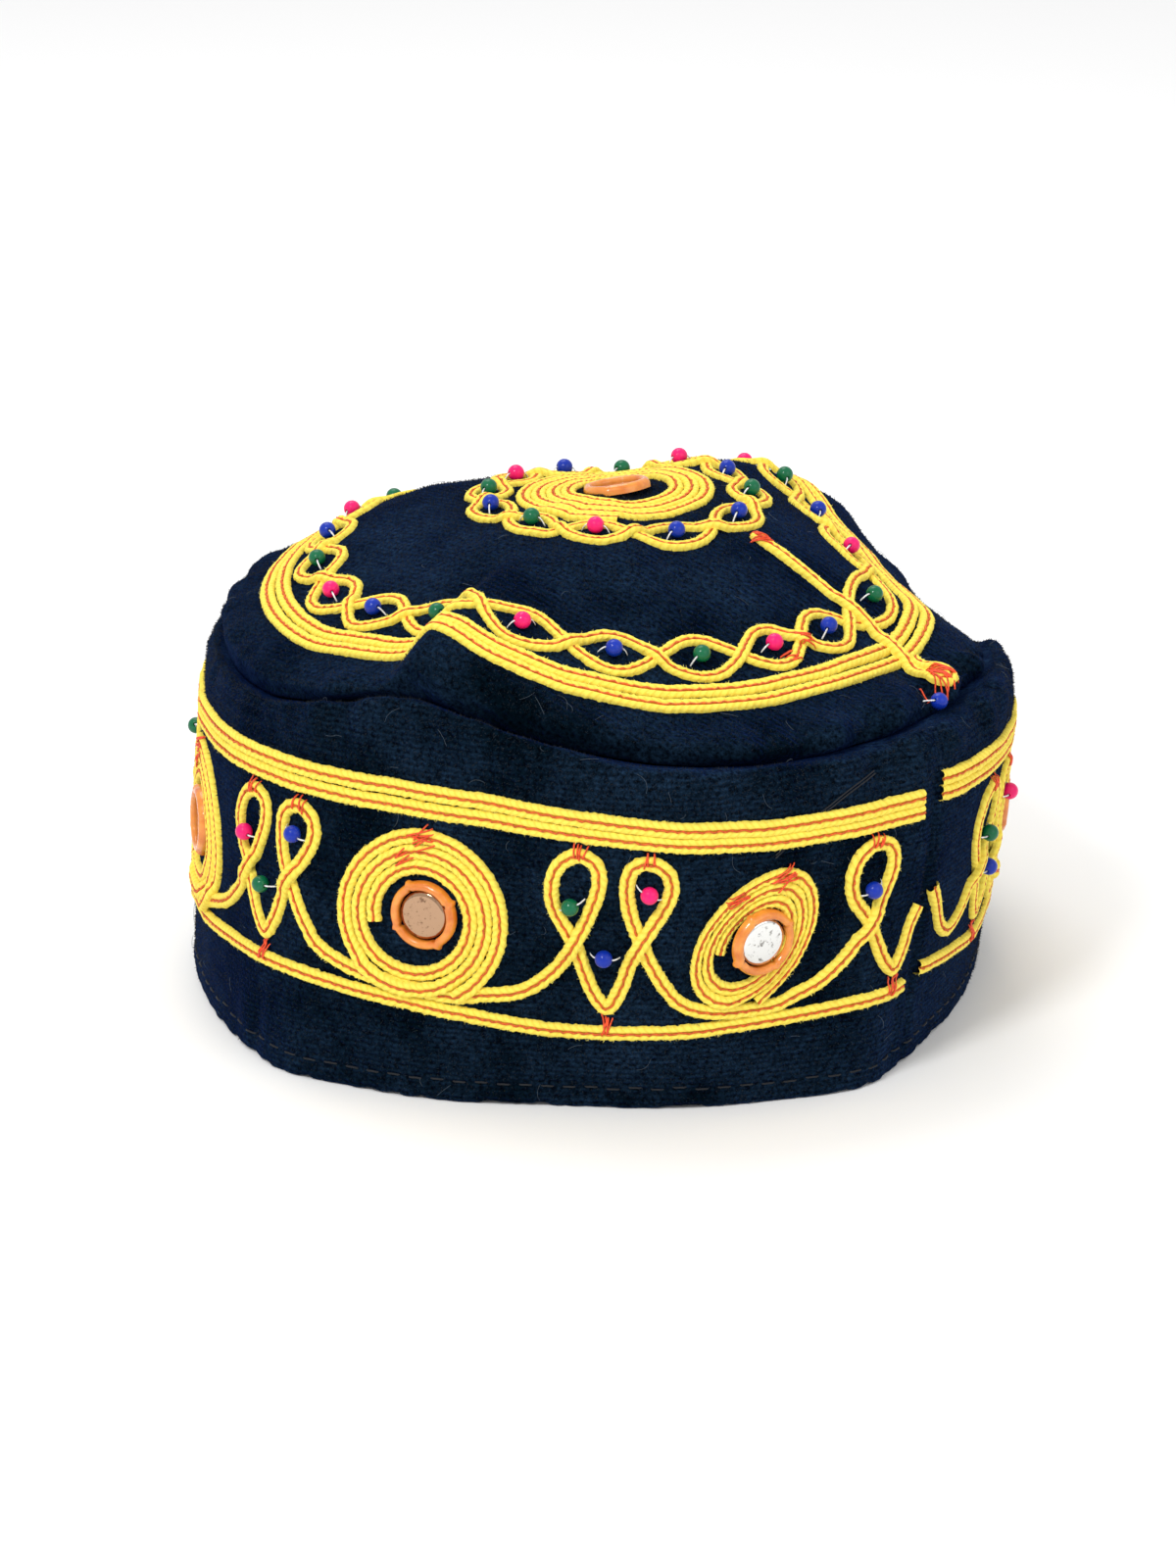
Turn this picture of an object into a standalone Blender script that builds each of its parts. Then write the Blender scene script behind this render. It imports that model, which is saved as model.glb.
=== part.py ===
"""Soft embroidered skullcap. Metres, +Z up, hem on Z = 0, front towards -Y.

A side band and a shallow crown of backed velvet meet at a seam. Flat cords are couched on
both, with a small mirror in each coiled cord and round beads in the loops.
"""

import math

import bmesh
import bpy
import numpy as np
from mathutils import Vector
from mathutils.bvhtree import BVHTree

# Cap
CAP_RADIUS = 0.092
BORDER_HEIGHT = 0.072
SEAM_HEIGHT = 0.081
RING_RADIUS = 0.078
RING_HEIGHT = 0.089
CROWN_HEIGHT = 0.114
MEDALLION_RADIUS = 0.036
CENTRE_X = 0.0009
CENTRE_Y = 0.0008
BULGE_OUT = 0.0004

# Cloth and seam
CLOTH = 0.0022
FLANGE = 0.0042
SEAM_GAP = 0.0003
SEAM_ANGLE = 45.8
SEAM_STEP = 0.0032
SEAM_FADE = 38.0
COLUMN_STEP = 7.5

# Cords
CORD_WIDTH = 0.0033
CORD_THICK = 0.0015
BORDER_WIDTH = 0.0074
LATTICE_CORD = 0.0028
CORD_LINE = 0.0190
CORD_GAP = 0.0004
CORD_REST = 0.0003

# Vine and roundels
REPEAT_ANGLE = 48.3
LOOP_HEADROOM = 0.0031
ROUNDEL_HEADROOM = 0.0024
ROUNDEL_FOOT = 0.0031
ROUNDEL_START = -150.0
COIL_STEP = 36.0
COIL_GAP = 0.0002
COIL_SHIFT = 0.0016
ROUNDEL_TURNS = 2.7

# Crown embroidery
LATTICE_LENSES = 22
LATTICE_WIDTH = 0.0125
MEDALLION_LENSES = 12
MEDALLION_X = 0.0025
MEDALLION_Y = 0.0055
COIL_RADIUS = 0.0243
MEDALLION_TURNS = 3.4
RADIAL_ANGLE = 62.0

# Mirrors and beads
MIRROR_RADIUS = 0.0055
MIRROR_THICK = 0.0012
MOUNT_RADIUS = 0.00775
MOUNT_THICK = 0.0020
MIRROR_LIFT = 0.0006
MIRROR_GAP = 0.0003
BEAD_RADIUS = 0.00195
SIDES = 12
BEAD_SIDES = 10
BEAD_RINGS = 4

# Sections round the cap. Angle from the front in degrees, towards +X. Radii hem, border, crest,
# seam and bulge are shares of CAP_RADIUS and ring is one of RING_RADIUS. Heights are shares:
# border_h of BORDER_HEIGHT, crest_h, seam_h and bulge_h of SEAM_HEIGHT, ring_h of RING_HEIGHT,
# medal_h of CROWN_HEIGHT and cord_h of CORD_LINE.
SECTION_NAMES = (
    "angle", "hem", "border", "border_h", "crest", "crest_h", "seam", "seam_h",
    "bulge", "bulge_h", "ring", "ring_h", "medal_h", "cord_h",
)
SECTIONS = (
    (-180, 1.038, 1.038, 1.000, 1.011, 1.012, 0.957, 1.000, 0.978, 1.040, 1.000, 0.970, 0.940, 1.00),
    (-150, 1.049, 1.043, 1.000, 1.016, 1.012, 0.962, 1.000, 0.984, 1.036, 1.005, 0.966, 0.945, 1.00),
    (-120, 1.065, 1.028, 1.000, 1.003, 1.006, 0.957, 0.994, 0.973, 1.066, 1.019, 1.024, 0.950, 1.02),
    (-96, 1.062, 1.007, 0.990, 0.985, 0.994, 0.948, 0.988, 0.962, 1.066, 1.012, 1.024, 0.952, 1.03),
    (-78, 1.043, 1.007, 0.992, 0.982, 0.994, 0.953, 0.988, 0.960, 1.068, 1.019, 1.022, 0.957, 1.12),
    (-60, 1.058, 1.022, 1.007, 1.000, 1.012, 0.957, 1.000, 0.957, 1.062, 1.013, 1.017, 0.957, 1.27),
    (-48, 1.082, 1.011, 1.014, 0.989, 1.037, 0.935, 1.031, 0.946, 1.086, 0.987, 1.034, 0.965, 1.30),
    (-36, 1.038, 0.984, 1.014, 0.957, 1.086, 0.902, 1.080, 0.924, 1.123, 0.974, 1.062, 0.965, 1.22),
    (-30, 1.022, 0.967, 1.014, 0.946, 1.105, 0.902, 1.096, 0.913, 1.198, 0.974, 1.157, 0.965, 1.18),
    (-18, 0.984, 0.978, 1.014, 0.957, 1.080, 0.908, 1.056, 0.913, 1.136, 1.000, 1.101, 0.965, 1.08),
    (-6, 0.957, 1.022, 1.004, 1.000, 1.031, 0.924, 1.012, 0.924, 1.086, 1.000, 1.037, 0.961, 1.00),
    (12, 0.984, 1.076, 0.972, 1.054, 0.981, 0.957, 0.969, 0.957, 1.025, 1.000, 0.983, 0.957, 1.07),
    (24, 1.005, 1.065, 0.954, 1.040, 0.967, 0.978, 0.963, 0.978, 1.012, 1.000, 0.973, 0.948, 1.15),
    (36, 1.043, 1.071, 0.954, 1.050, 0.969, 0.984, 0.969, 0.978, 1.019, 1.000, 0.978, 0.948, 1.20),
    (48, 0.984, 1.090, 0.958, 1.068, 0.981, 0.989, 0.981, 0.978, 1.025, 1.000, 0.980, 0.948, 1.15),
    (60, 0.946, 1.071, 0.972, 1.054, 1.000, 0.967, 0.988, 0.967, 1.037, 1.000, 0.972, 0.952, 1.08),
    (76, 0.935, 1.033, 0.972, 1.010, 0.985, 0.954, 0.975, 0.944, 1.006, 0.981, 0.989, 0.957, 1.00),
    (90, 0.951, 1.007, 0.931, 0.986, 0.955, 0.941, 0.945, 0.914, 0.972, 0.912, 0.989, 0.961, 1.00),
    (106, 1.000, 0.995, 0.903, 0.967, 0.870, 0.924, 0.877, 0.880, 0.944, 0.859, 1.011, 0.970, 1.00),
    (122, 1.065, 1.011, 0.924, 0.967, 0.889, 0.913, 0.889, 0.886, 1.008, 0.875, 1.042, 0.978, 1.00),
    (138, 1.076, 1.033, 0.972, 0.989, 0.981, 0.935, 0.975, 0.929, 1.110, 0.912, 1.132, 0.981, 1.00),
    (156, 1.054, 1.043, 1.000, 1.011, 1.012, 0.957, 1.000, 0.967, 1.086, 0.974, 1.040, 0.962, 1.00),
)
SCALES = (
    1.0, CAP_RADIUS, CAP_RADIUS, BORDER_HEIGHT, CAP_RADIUS, SEAM_HEIGHT, CAP_RADIUS, SEAM_HEIGHT,
    CAP_RADIUS, SEAM_HEIGHT, RING_RADIUS, RING_HEIGHT, CROWN_HEIGHT, CORD_LINE,
)
BAND_STEPS = (0.0, 0.4, 0.8, 0.93, 1.0)
CROWN_STEPS = (0.0, 0.4, 0.84, 0.95, 1.0)
BORDER_STEP = BAND_STEPS[2]
MEDALLION_STEP = CROWN_STEPS[1]
RING_STEP = CROWN_STEPS[2]

# Soft humps of the crown: angle and step of the middle, half widths, and rise as a share of
# HUMP_RISE
HUMP_NAMES = ("angle", "step", "wide", "deep", "rise")
HUMP_RISE = 0.0050
CROWN_HUMPS = (
    (-130.0, 0.58, 62.0, 0.32, 0.88),
    (148.0, 0.56, 34.0, 0.32, 0.50),
)

# Extra wall columns, where the crown's pleat and the hem's corners turn sharply
PLEAT_COLUMNS = (-48.0, -41.0, -38.0, -36.0, -33.0, -30.0, -26.0)

# One repeat of the vine: along is a share of the repeat, up one of the height between the low
# and the high line of the vine, over is 1 where the cord passes over itself.
VINE_NAMES = ("along", "up", "over")
VINE = (
    (-0.420, 0.000, 0), (-0.348, 0.045, 0), (-0.240, 0.118, 0), (-0.152, 0.272, 0),
    (-0.091, 0.454, 1), (-0.048, 0.649, 0), (-0.021, 0.856, 0), (-0.034, 0.965, 0),
    (-0.077, 1.000, 0), (-0.128, 0.936, 0), (-0.152, 0.815, 0), (-0.146, 0.662, 0),
    (-0.091, 0.454, 0), (-0.064, 0.292, 0), (-0.034, 0.144, 0), (0.000, 0.067, 0),
    (0.034, 0.177, 0), (0.064, 0.367, 0), (0.091, 0.492, 1), (0.139, 0.664, 0),
    (0.169, 0.836, 0), (0.156, 0.950, 0), (0.112, 1.000, 0), (0.067, 0.955, 0),
    (0.052, 0.828, 0), (0.063, 0.659, 0), (0.091, 0.492, 0), (0.119, 0.354, 0),
    (0.159, 0.200, 0), (0.193, 0.110, 0), (0.247, 0.054, 0), (0.330, 0.015, 0),
    (0.420, 0.000, 0),
)
VINE_BEGIN = (
    (-0.400, 0.530, 0), (-0.365, 0.360, 0), (-0.325, 0.200, 0), (-0.285, 0.120, 0),
    (-0.245, 0.100, 0), (-0.200, 0.160, 0),
)
VINE_END = ((0.088, 0.470, 0),)
FIRST_WHOLE_ROW = 3
LAST_CUT_ROW = 18

# Angles of the pairs of loops, from the band's own seam round to it
LOOP_ANGLES = (66.3, 114.2, 162.3, 210.3, 258.4, 308.8, 360.0, 400.2)

# Coiled cords between them: angle, width and height as shares of the round size, and lean, how
# far the top moves sideways for its height
ROUNDEL_NAMES = ("angle", "wide", "tall", "lean")
ROUNDELS = (
    (90.1, 1.00, 1.00, 0.00), (138.2, 1.00, 1.00, 0.00), (186.3, 1.00, 1.00, 0.00),
    (234.4, 1.00, 1.00, 0.00), (282.5, 1.00, 1.00, 0.00), (334.1, 1.00, 1.00, 0.05),
    (380.0, 0.66, 0.87, 0.34),
)
STEADY_SHARE = 0.2

# Beads of one repeat: along, up and the colours of the successive repeats
BEAD_NAMES = ("along", "up", "colours")
BEADS = (
    (-0.097, 0.700, ("green", "pink", "blue", "green", "blue", "pink", "green", "blue")),
    (-0.006, 0.400, ("blue", "green", "pink", "blue", "pink", "green", "blue")),
    (0.112, 0.820, ("pink", "blue", "green", "pink", "green", "blue", "pink")),
)

BEAD_COLOURS = {
    "pink": (0.75, 0.02, 0.18, 1.0),
    "blue": (0.01, 0.05, 0.50, 1.0),
    "green": (0.00, 0.17, 0.07, 1.0),
}


def clear_scene():
    for thing in list(bpy.data.objects):
        bpy.data.objects.remove(thing, do_unlink=True)


def make_material(name, colour, roughness, metallic=0.0):
    material = bpy.data.materials.new(name)
    material.use_nodes = True
    shader = material.node_tree.nodes["Principled BSDF"]
    shader.inputs["Base Color"].default_value = colour
    shader.inputs["Roughness"].default_value = roughness
    shader.inputs["Metallic"].default_value = metallic
    return material


# Smooth surfaces
def rounded_slopes(knots, values):
    """Slopes of a curve through values (one row per knot) that never overshoots them."""
    steps = np.diff(knots)[:, None]
    rises = np.diff(values, axis=0) / steps
    slopes = np.zeros_like(values)
    before = 2 * steps[1:] + steps[:-1]
    after = steps[1:] + 2 * steps[:-1]
    same_way = rises[:-1] * rises[1:] > 0
    safe = np.where(same_way, rises[:-1] * rises[1:], 1.0)
    blend = (before + after) * safe
    blend = blend / np.where(same_way, before * rises[1:] + after * rises[:-1], 1.0)
    slopes[1:-1] = np.where(same_way, blend, 0.0)
    return slopes


def wrapped_table():
    """The section table in metres, with three rows repeated past each end of the circle."""
    table = np.array(SECTIONS, float) * np.array(SCALES)
    low = table[-3:].copy()
    high = table[:3].copy()
    low[:, 0] -= 360.0
    high[:, 0] += 360.0
    return np.vstack([low, table, high])


TABLE = wrapped_table()
SLOPES = rounded_slopes(TABLE[:, 0], TABLE)


def hermite(start, end, slope_start, slope_end, width, share):
    cube = share**3
    square = share**2
    value = (2 * cube - 3 * square + 1) * start + (3 * square - 2 * cube) * end
    bend = (cube - 2 * square + share) * slope_start + (cube - square) * slope_end
    return value + bend * width


def section(angle):
    """Every length of the section table at this angle, by name."""
    turned = (angle + 180.0) % 360.0 - 180.0
    row = int(np.searchsorted(TABLE[:, 0], turned, side="right")) - 1
    width = TABLE[row + 1, 0] - TABLE[row, 0]
    share = (turned - TABLE[row, 0]) / width
    lengths = hermite(TABLE[row], TABLE[row + 1], SLOPES[row], SLOPES[row + 1], width, share)
    return dict(zip(SECTION_NAMES, lengths))


def through(knots, points, at):
    """A smooth curve through points in the (radius, height) plane, read at one value."""
    count = len(knots)
    row = min(max(int(np.searchsorted(knots, at, side="right")) - 1, 0), count - 2)

    def slope(index):
        first = max(index - 1, 0)
        last = min(index + 1, count - 1)
        return (points[last] - points[first]) / (knots[last] - knots[first])

    width = knots[row + 1] - knots[row]
    share = (at - knots[row]) / width
    return hermite(points[row], points[row + 1], slope(row), slope(row + 1), width, share)


def band_section(angle, step):
    """(radius, height) of the band's outer face, from 0 at the hem to 1 in the seam."""
    at = section(angle)
    middle = (at["hem"] + at["border"]) / 2 + BULGE_OUT
    points = np.array([
        (at["hem"], 0.0),
        (middle, at["border_h"] / 2),
        (at["border"], at["border_h"]),
        (at["crest"], at["crest_h"]),
        (at["seam"], at["seam_h"]),
    ])
    return through(BAND_STEPS, points, step)


def hump_rise(angle, step):
    """How far the soft humps lift the crown."""
    total = 0.0
    for middle, middle_step, wide, deep, rise in CROWN_HUMPS:
        turned = min(abs((angle - middle + 180.0) % 360.0 - 180.0) / wide, 1.0)
        away = min(abs(step - middle_step) / deep, 1.0)
        total += rise * HUMP_RISE * (math.cos(math.pi / 2 * turned) * math.cos(math.pi / 2 * away)) ** 2
    return total


def crown_section(angle, step):
    """(radius, height) of the crown's outer face, from 0 at its centre to 1 in the seam."""
    at = section(angle)
    points = np.array([
        (0.0, CROWN_HEIGHT),
        (MEDALLION_RADIUS, at["medal_h"]),
        (at["ring"], at["ring_h"]),
        (at["bulge"], at["bulge_h"]),
        (at["seam"] - SEAM_GAP, at["seam_h"] + SEAM_GAP),
    ])
    return through(CROWN_STEPS, points, step) + (0.0, hump_rise(angle, step))


def place(angle, radius, height):
    turn = math.radians(angle)
    return Vector((CENTRE_X + radius * math.sin(turn), CENTRE_Y - radius * math.cos(turn), height))


def band_point(angle, step):
    return place(angle, *band_section(angle, step))


def crown_point(angle, step):
    return place(angle, *crown_section(angle, step))


def facing(surface, angle, step):
    """The outward direction of a smooth surface at one place."""
    small_turn = 0.4
    small_step = 0.004
    if surface is crown_point and step < small_step:
        return Vector((0.0, 0.0, 1.0))
    low = max(step - small_step, 0.0)
    high = min(step + small_step, 1.0)
    along = surface(angle + small_turn, step) - surface(angle - small_turn, step)
    across = surface(angle, high) - surface(angle, low)
    if surface is crown_point:
        return across.cross(along).normalized()
    return along.cross(across).normalized()


def height_step(height):
    """The band step at a height measured along the cloth."""
    return BORDER_STEP * height / BORDER_HEIGHT


def ring_step(angle, inward):
    """The crown step at a distance inward of the ring's outer edge."""
    reach = section(angle)["ring"] - MEDALLION_RADIUS
    return RING_STEP - inward * (RING_STEP - MEDALLION_STEP) / reach


def radius_step(radius):
    """The crown step at a radius inside the medallion."""
    return MEDALLION_STEP * radius / MEDALLION_RADIUS


# Meshes
def add_object(name, mesh, material, smooth_angle=40.0):
    thing = bpy.data.objects.new(name, mesh)
    bpy.context.scene.collection.objects.link(thing)
    mesh.materials.append(material)
    mesh.shade_smooth()
    mesh.set_sharp_from_angle(angle=math.radians(smooth_angle))
    return thing


def loft(name, loops, material, closed):
    """A body skinned over loops of points: a ring of them when closed, or capped at its ends."""
    shape = bmesh.new()
    rows = [[shape.verts.new(point) for point in loop] for loop in loops]
    pairs = list(zip(rows, rows[1:] + rows[:1])) if closed else list(zip(rows, rows[1:]))
    for first, second in pairs:
        for index in range(len(first)):
            following = (index + 1) % len(first)
            shape.faces.new((first[index], first[following], second[following], second[index]))
    if not closed:
        shape.faces.new(rows[0])
        shape.faces.new(rows[-1])
    bmesh.ops.remove_doubles(shape, verts=shape.verts, dist=1e-6)
    bmesh.ops.recalc_face_normals(shape, faces=shape.faces)
    mesh = bpy.data.meshes.new(name)
    shape.to_mesh(mesh)
    shape.free()
    return add_object(name, mesh, material)


def inward(section_at, angle, step, depth):
    """A point of the section curve, moved square to it by depth."""
    small_step = 0.01
    ahead = section_at(angle, min(step + small_step, 1.0))
    behind = section_at(angle, max(step - small_step, 0.0))
    run = (ahead - behind) / np.linalg.norm(ahead - behind)
    return section_at(angle, step) + depth * np.array((-run[1], run[0]))


def columns():
    """The angles of the walls' columns, closer together at the pleat."""
    angles = set(PLEAT_COLUMNS)
    for index in range(round(360.0 / COLUMN_STEP)):
        angle = -180.0 + index * COLUMN_STEP
        if min(abs(angle - other) for other in PLEAT_COLUMNS) > COLUMN_STEP / 2:
            angles.add(angle)
    return sorted(angles)


def band_loop(angle):
    """The band's closed section: up the outer face, in across the seam flange, down the inside."""
    loop = [band_section(angle, step) for step in (0.0, 0.18, 0.4, 0.62, 0.8, 0.88, 0.94)]
    seam = band_section(angle, 1.0)
    loop += [seam, seam - (FLANGE, 0.0), seam - (FLANGE, CLOTH)]
    inside = [inward(band_section, angle, step, CLOTH) for step in (0.86, 0.7, 0.42, 0.2)]
    hem = band_section(angle, 0.0)
    return [place(angle, *point) for point in loop + inside + [hem - (CLOTH, 0.0)]]


def crown_loop(angle):
    """The crown's closed section: out over the top, across its rim, back to the centre inside."""
    steps = (0.0, 0.14, 0.27, 0.4, 0.55, 0.7, 0.84, 0.9, 0.95)
    loop = [crown_section(angle, step) for step in steps]
    rim = crown_section(angle, 1.0)
    loop += [rim, rim - (CLOTH, 0.0)]
    inside = [inward(crown_section, angle, step, -CLOTH) for step in (0.93, 0.84, 0.62, 0.4, 0.2)]
    return [place(angle, *point) for point in loop + inside + [(0.0, CROWN_HEIGHT - CLOTH)]]


class Ground:
    """What a cord or bead lies on: the outer faces of some bodies."""

    REACH = 0.008

    def __init__(self, *things):
        points = []
        faces = []
        for thing in things:
            first = len(points)
            points += [vertex.co.copy() for vertex in thing.data.vertices]
            faces += [[first + index for index in face.vertices] for face in thing.data.polygons]
        self.tree = BVHTree.FromPolygons(points, faces)

    def rise(self, point, up):
        """How far the ground stands above point along up, or a small negative value if under it."""
        hit = self.tree.ray_cast(point + up * self.REACH, -up, 2 * self.REACH)
        if hit[0] is None:
            return -self.REACH
        return self.REACH - hit[3]


SPAN_SAMPLES = 15


def settle(places, ups, sides, half, ground, lifts, closed):
    """Base points over the ground, raised until the straight stretches between them clear it too."""
    rises = [max(ground.rise(place_at, up), 0.0) for place_at, up in zip(places, ups)]
    heights = [rise + CORD_GAP + lift for rise, lift in zip(rises, lifts)]
    count = len(places)
    spans = [(index, (index + 1) % count) for index in range(count if closed else count - 1)]
    for _ in range(4):
        for first, second in spans:
            for share in np.linspace(0.0, 1.0, SPAN_SAMPLES):
                up = ups[first].lerp(ups[second], share).normalized()
                start = places[first] + ups[first] * heights[first]
                end = places[second] + ups[second] * heights[second]
                for side in (-half, -half / 2, 0.0, half / 2, half):
                    point = (start + sides[first] * side).lerp(end + sides[second] * side, share)
                    short = ground.rise(point, up) + CORD_REST
                    if short > 1e-6:
                        heights[first] += short * (1 - share)
                        heights[second] += short * share
    return [place_at + up * height for place_at, up, height in zip(places, ups, heights)]


def flat_cord(width):
    """A low three-sided section."""
    return ((-width / 2, 0.0), (width / 2, 0.0), (0.0, CORD_THICK))


def double_tape(width):
    """Two low ridges side by side."""
    return (
        (-width / 2, 0.0), (width / 2, 0.0), (width / 4, CORD_THICK),
        (0.0, CORD_THICK / 3), (-width / 4, CORD_THICK),
    )


def couch(name, surface, route, profile, ground, material, closed=False, lifts=None, widths=None):
    """A flat cord laid on a surface along a route of (angle, step) stations."""
    places = [surface(angle, step) for angle, step in route]
    ups = [facing(surface, angle, step) for angle, step in route]
    sides = []
    for index, up in enumerate(ups):
        ahead = places[(index + 1) % len(places)] if closed else places[min(index + 1, len(places) - 1)]
        behind = places[index - 1] if closed or index else places[0]
        sides.append(up.cross(ahead - behind).normalized() * (widths[index] if widths else 1.0))
    half = max(across for across, _ in profile)
    bases = settle(places, ups, sides, half, ground, lifts or [0.0] * len(route), closed)
    loops = [
        [base + side * across + up * high for across, high in profile]
        for base, side, up in zip(bases, sides, ups)
    ]
    return loft(name, loops, material, closed)


# Band embroidery
FIELD_TOP = BORDER_HEIGHT - BORDER_WIDTH
VINE_TOP = FIELD_TOP - LOOP_HEADROOM
SEAM_HALF = 0.8
SEAM_ROUTE = (SEAM_ANGLE + SEAM_HALF, SEAM_ANGLE + 360.0 - SEAM_HALF)


def round_the_band(height_at):
    """Stations from one side of the band's own seam right round to the other."""
    start, end = SEAM_ROUTE
    turned = sorted(angle if angle > start else angle + 360.0 for angle in columns())
    angles = [start] + [angle for angle in turned if start + 1.5 < angle < end - 1.5] + [end]
    return [(angle, height_step(height_at(angle))) for angle in angles]


def seam_rise(angle):
    """How much higher the embroidery starts just past the band's own seam."""
    past = (angle - SEAM_ANGLE) % 360.0 / SEAM_FADE
    return SEAM_STEP * max(1.0 - past, 0.0) ** 2


def cord_height(angle):
    return section(angle)["cord_h"] + seam_rise(angle)


def border_height(angle):
    return BORDER_HEIGHT - BORDER_WIDTH / 2 + seam_rise(angle)


def vine_height(angle, up):
    low = cord_height(angle) + CORD_WIDTH + CORD_GAP
    return low + up * (VINE_TOP - low)


def vine_angle(repeat, along):
    """The loops keep their width, and the stretch between them reaches the next roundel."""
    centre = LOOP_ANGLES[repeat]
    steady = math.copysign(min(abs(along), STEADY_SHARE), along)
    near = centre + steady * REPEAT_ANGLE
    beside = repeat if along > 0 else repeat - 1
    if abs(along) <= STEADY_SHARE or not 0 <= beside < len(ROUNDELS):
        return centre + along * REPEAT_ANGLE
    share = (abs(along) - STEADY_SHARE) / (0.5 - STEADY_SHARE)
    return near + (ROUNDELS[beside][0] - near) * share


def vine_spot(repeat, along, up):
    angle = vine_angle(repeat, along)
    return angle, height_step(vine_height(angle, up))


def vine_rows():
    """(repeat, along, up, over) for the whole vine, from the band's seam round to it."""
    last = len(LOOP_ANGLES) - 1
    rows = [(0, *row) for row in VINE_BEGIN + VINE[FIRST_WHOLE_ROW:]]
    for repeat in range(1, last):
        rows += [(repeat, *row) for row in VINE]
    return rows + [(last, *row) for row in VINE[:LAST_CUT_ROW] + VINE_END]


def make_vine(ground, material):
    rows = vine_rows()
    route = [vine_spot(repeat, along, up) for repeat, along, up, _ in rows]
    pass_over = 1.12 * (CORD_THICK + CORD_GAP)
    lifts = [over * pass_over for *_, over in rows]
    return couch("vine_cord", band_point, route, flat_cord(CORD_WIDTH), ground, material, lifts=lifts)


def coil_offsets(outer, turns, start):
    """(turn, radius) of a cord's middle as it winds inward from its outer end."""
    offsets = []
    for index in range(round(turns * 360.0 / COIL_STEP) + 1):
        wound = index * COIL_STEP
        offsets.append((start + wound, outer - CORD_WIDTH / 2 - COIL_PITCH * wound / 360.0))
    return offsets


COIL_PITCH = CORD_WIDTH + COIL_GAP


def roundel_size():
    """(outer radius at the coil's outer end, height of its centre)."""
    top = FIELD_TOP - ROUNDEL_HEADROOM
    bottom = CORD_LINE + CORD_WIDTH / 2 + ROUNDEL_FOOT
    lost_at_top = -COIL_PITCH * ROUNDEL_START / 360.0
    lost_at_bottom = lost_at_top + COIL_PITCH / 2
    outer = (top - bottom + lost_at_top + lost_at_bottom) / 2
    return outer, top - (outer - lost_at_top)


ROUNDEL_RADIUS, ROUNDEL_HEIGHT = roundel_size()


def near_roundel(centre, across, up):
    """(angle, step) of a place beside a roundel's centre, with both offsets along the cloth."""
    step = height_step(ROUNDEL_HEIGHT + up)
    radius = band_section(centre, height_step(ROUNDEL_HEIGHT))[0]
    return centre + math.degrees(across / radius), step


def make_roundel(index, ground, material):
    """A coil, squeezed and leaned as its row says, with its cord narrower where turns crowd."""
    centre, wide, tall, lean = ROUNDELS[index]
    route = []
    widths = []
    for turn, radius in coil_offsets(ROUNDEL_RADIUS, ROUNDEL_TURNS, ROUNDEL_START):
        sine = math.sin(math.radians(turn))
        cosine = math.cos(math.radians(turn))
        up = radius * cosine * tall
        across = lean * up - radius * sine * wide
        route.append(near_roundel(centre, across - COIL_SHIFT, up))
        widths.append(wide * tall / math.hypot(wide * cosine + lean * tall * sine, tall * sine))
    name = f"roundel_{index + 1}"
    return couch(name, band_point, route, flat_cord(CORD_WIDTH), ground, material, widths=widths)


# Crown embroidery
def make_crown_border(ground, material):
    route = [(angle, ring_step(angle, BORDER_WIDTH / 2)) for angle in columns()]
    return couch("crown_border", crown_point, route, double_tape(BORDER_WIDTH), ground, material, closed=True)


# Angles where the wavy cords cross at the front, the rest of the way round being even
RING_CROSSINGS = (
    -95.5, -78.5, -61.5, -45.0, -26.5, -7.5, 9.4, 27.5, 42.0, 57.0, 84.0, 105.0, 125.0,
)
MEDALLION_CROSSINGS = (-89.0, -54.0, -25.0, 6.0, 45.0, 82.0, 110.0)
LENS_STATIONS = (0.14, 0.38, 0.62, 0.86)


def all_crossings(seen, lenses):
    left = lenses - len(seen) + 1
    step = (360.0 + seen[0] - seen[-1]) / left
    return list(seen) + [seen[-1] + step * index for index in range(1, left + 1)]


def wave(crossings, strand):
    """(turn, sideways share) of one of two cords that cross at each lens end."""
    stations = []
    for lens, (start, end) in enumerate(zip(crossings, crossings[1:])):
        side = 1 if (lens + strand) % 2 else -1
        for share in LENS_STATIONS:
            stations.append((start + (end - start) * share, side * math.sin(math.pi * share)))
    return stations


def make_lattice(name, crossings, width, spot_at, crown, material):
    """Two wavy cords, the second laid over the first, all round the crown."""
    sway_reach = (width - LATTICE_CORD) / 2
    strands = []
    for strand in range(2):
        route = [spot_at(turn, sway * sway_reach) for turn, sway in wave(crossings, strand)]
        ground = Ground(crown, *strands)
        profile = flat_cord(LATTICE_CORD)
        node = f"{name}_{strand + 1}"
        strands.append(couch(node, crown_point, route, profile, ground, material, closed=True))
    return strands


def ring_lattice_spot(angle, sway):
    return angle, ring_step(angle, BORDER_WIDTH + CORD_GAP + LATTICE_WIDTH / 2 - sway)


def medallion_spot(turn, radius):
    """(angle, step) of a place at a turn and radius round the medallion's own centre."""
    across = MEDALLION_X + radius * math.sin(math.radians(turn))
    back = MEDALLION_Y - radius * math.cos(math.radians(turn))
    return math.degrees(math.atan2(across, -back)), radius_step(math.hypot(across, back))


MEDALLION_BAND = MEDALLION_RADIUS - COIL_RADIUS - CORD_GAP


def medallion_lattice_spot(turn, sway):
    return medallion_spot(turn, MEDALLION_RADIUS - MEDALLION_BAND / 2 + sway)


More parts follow.
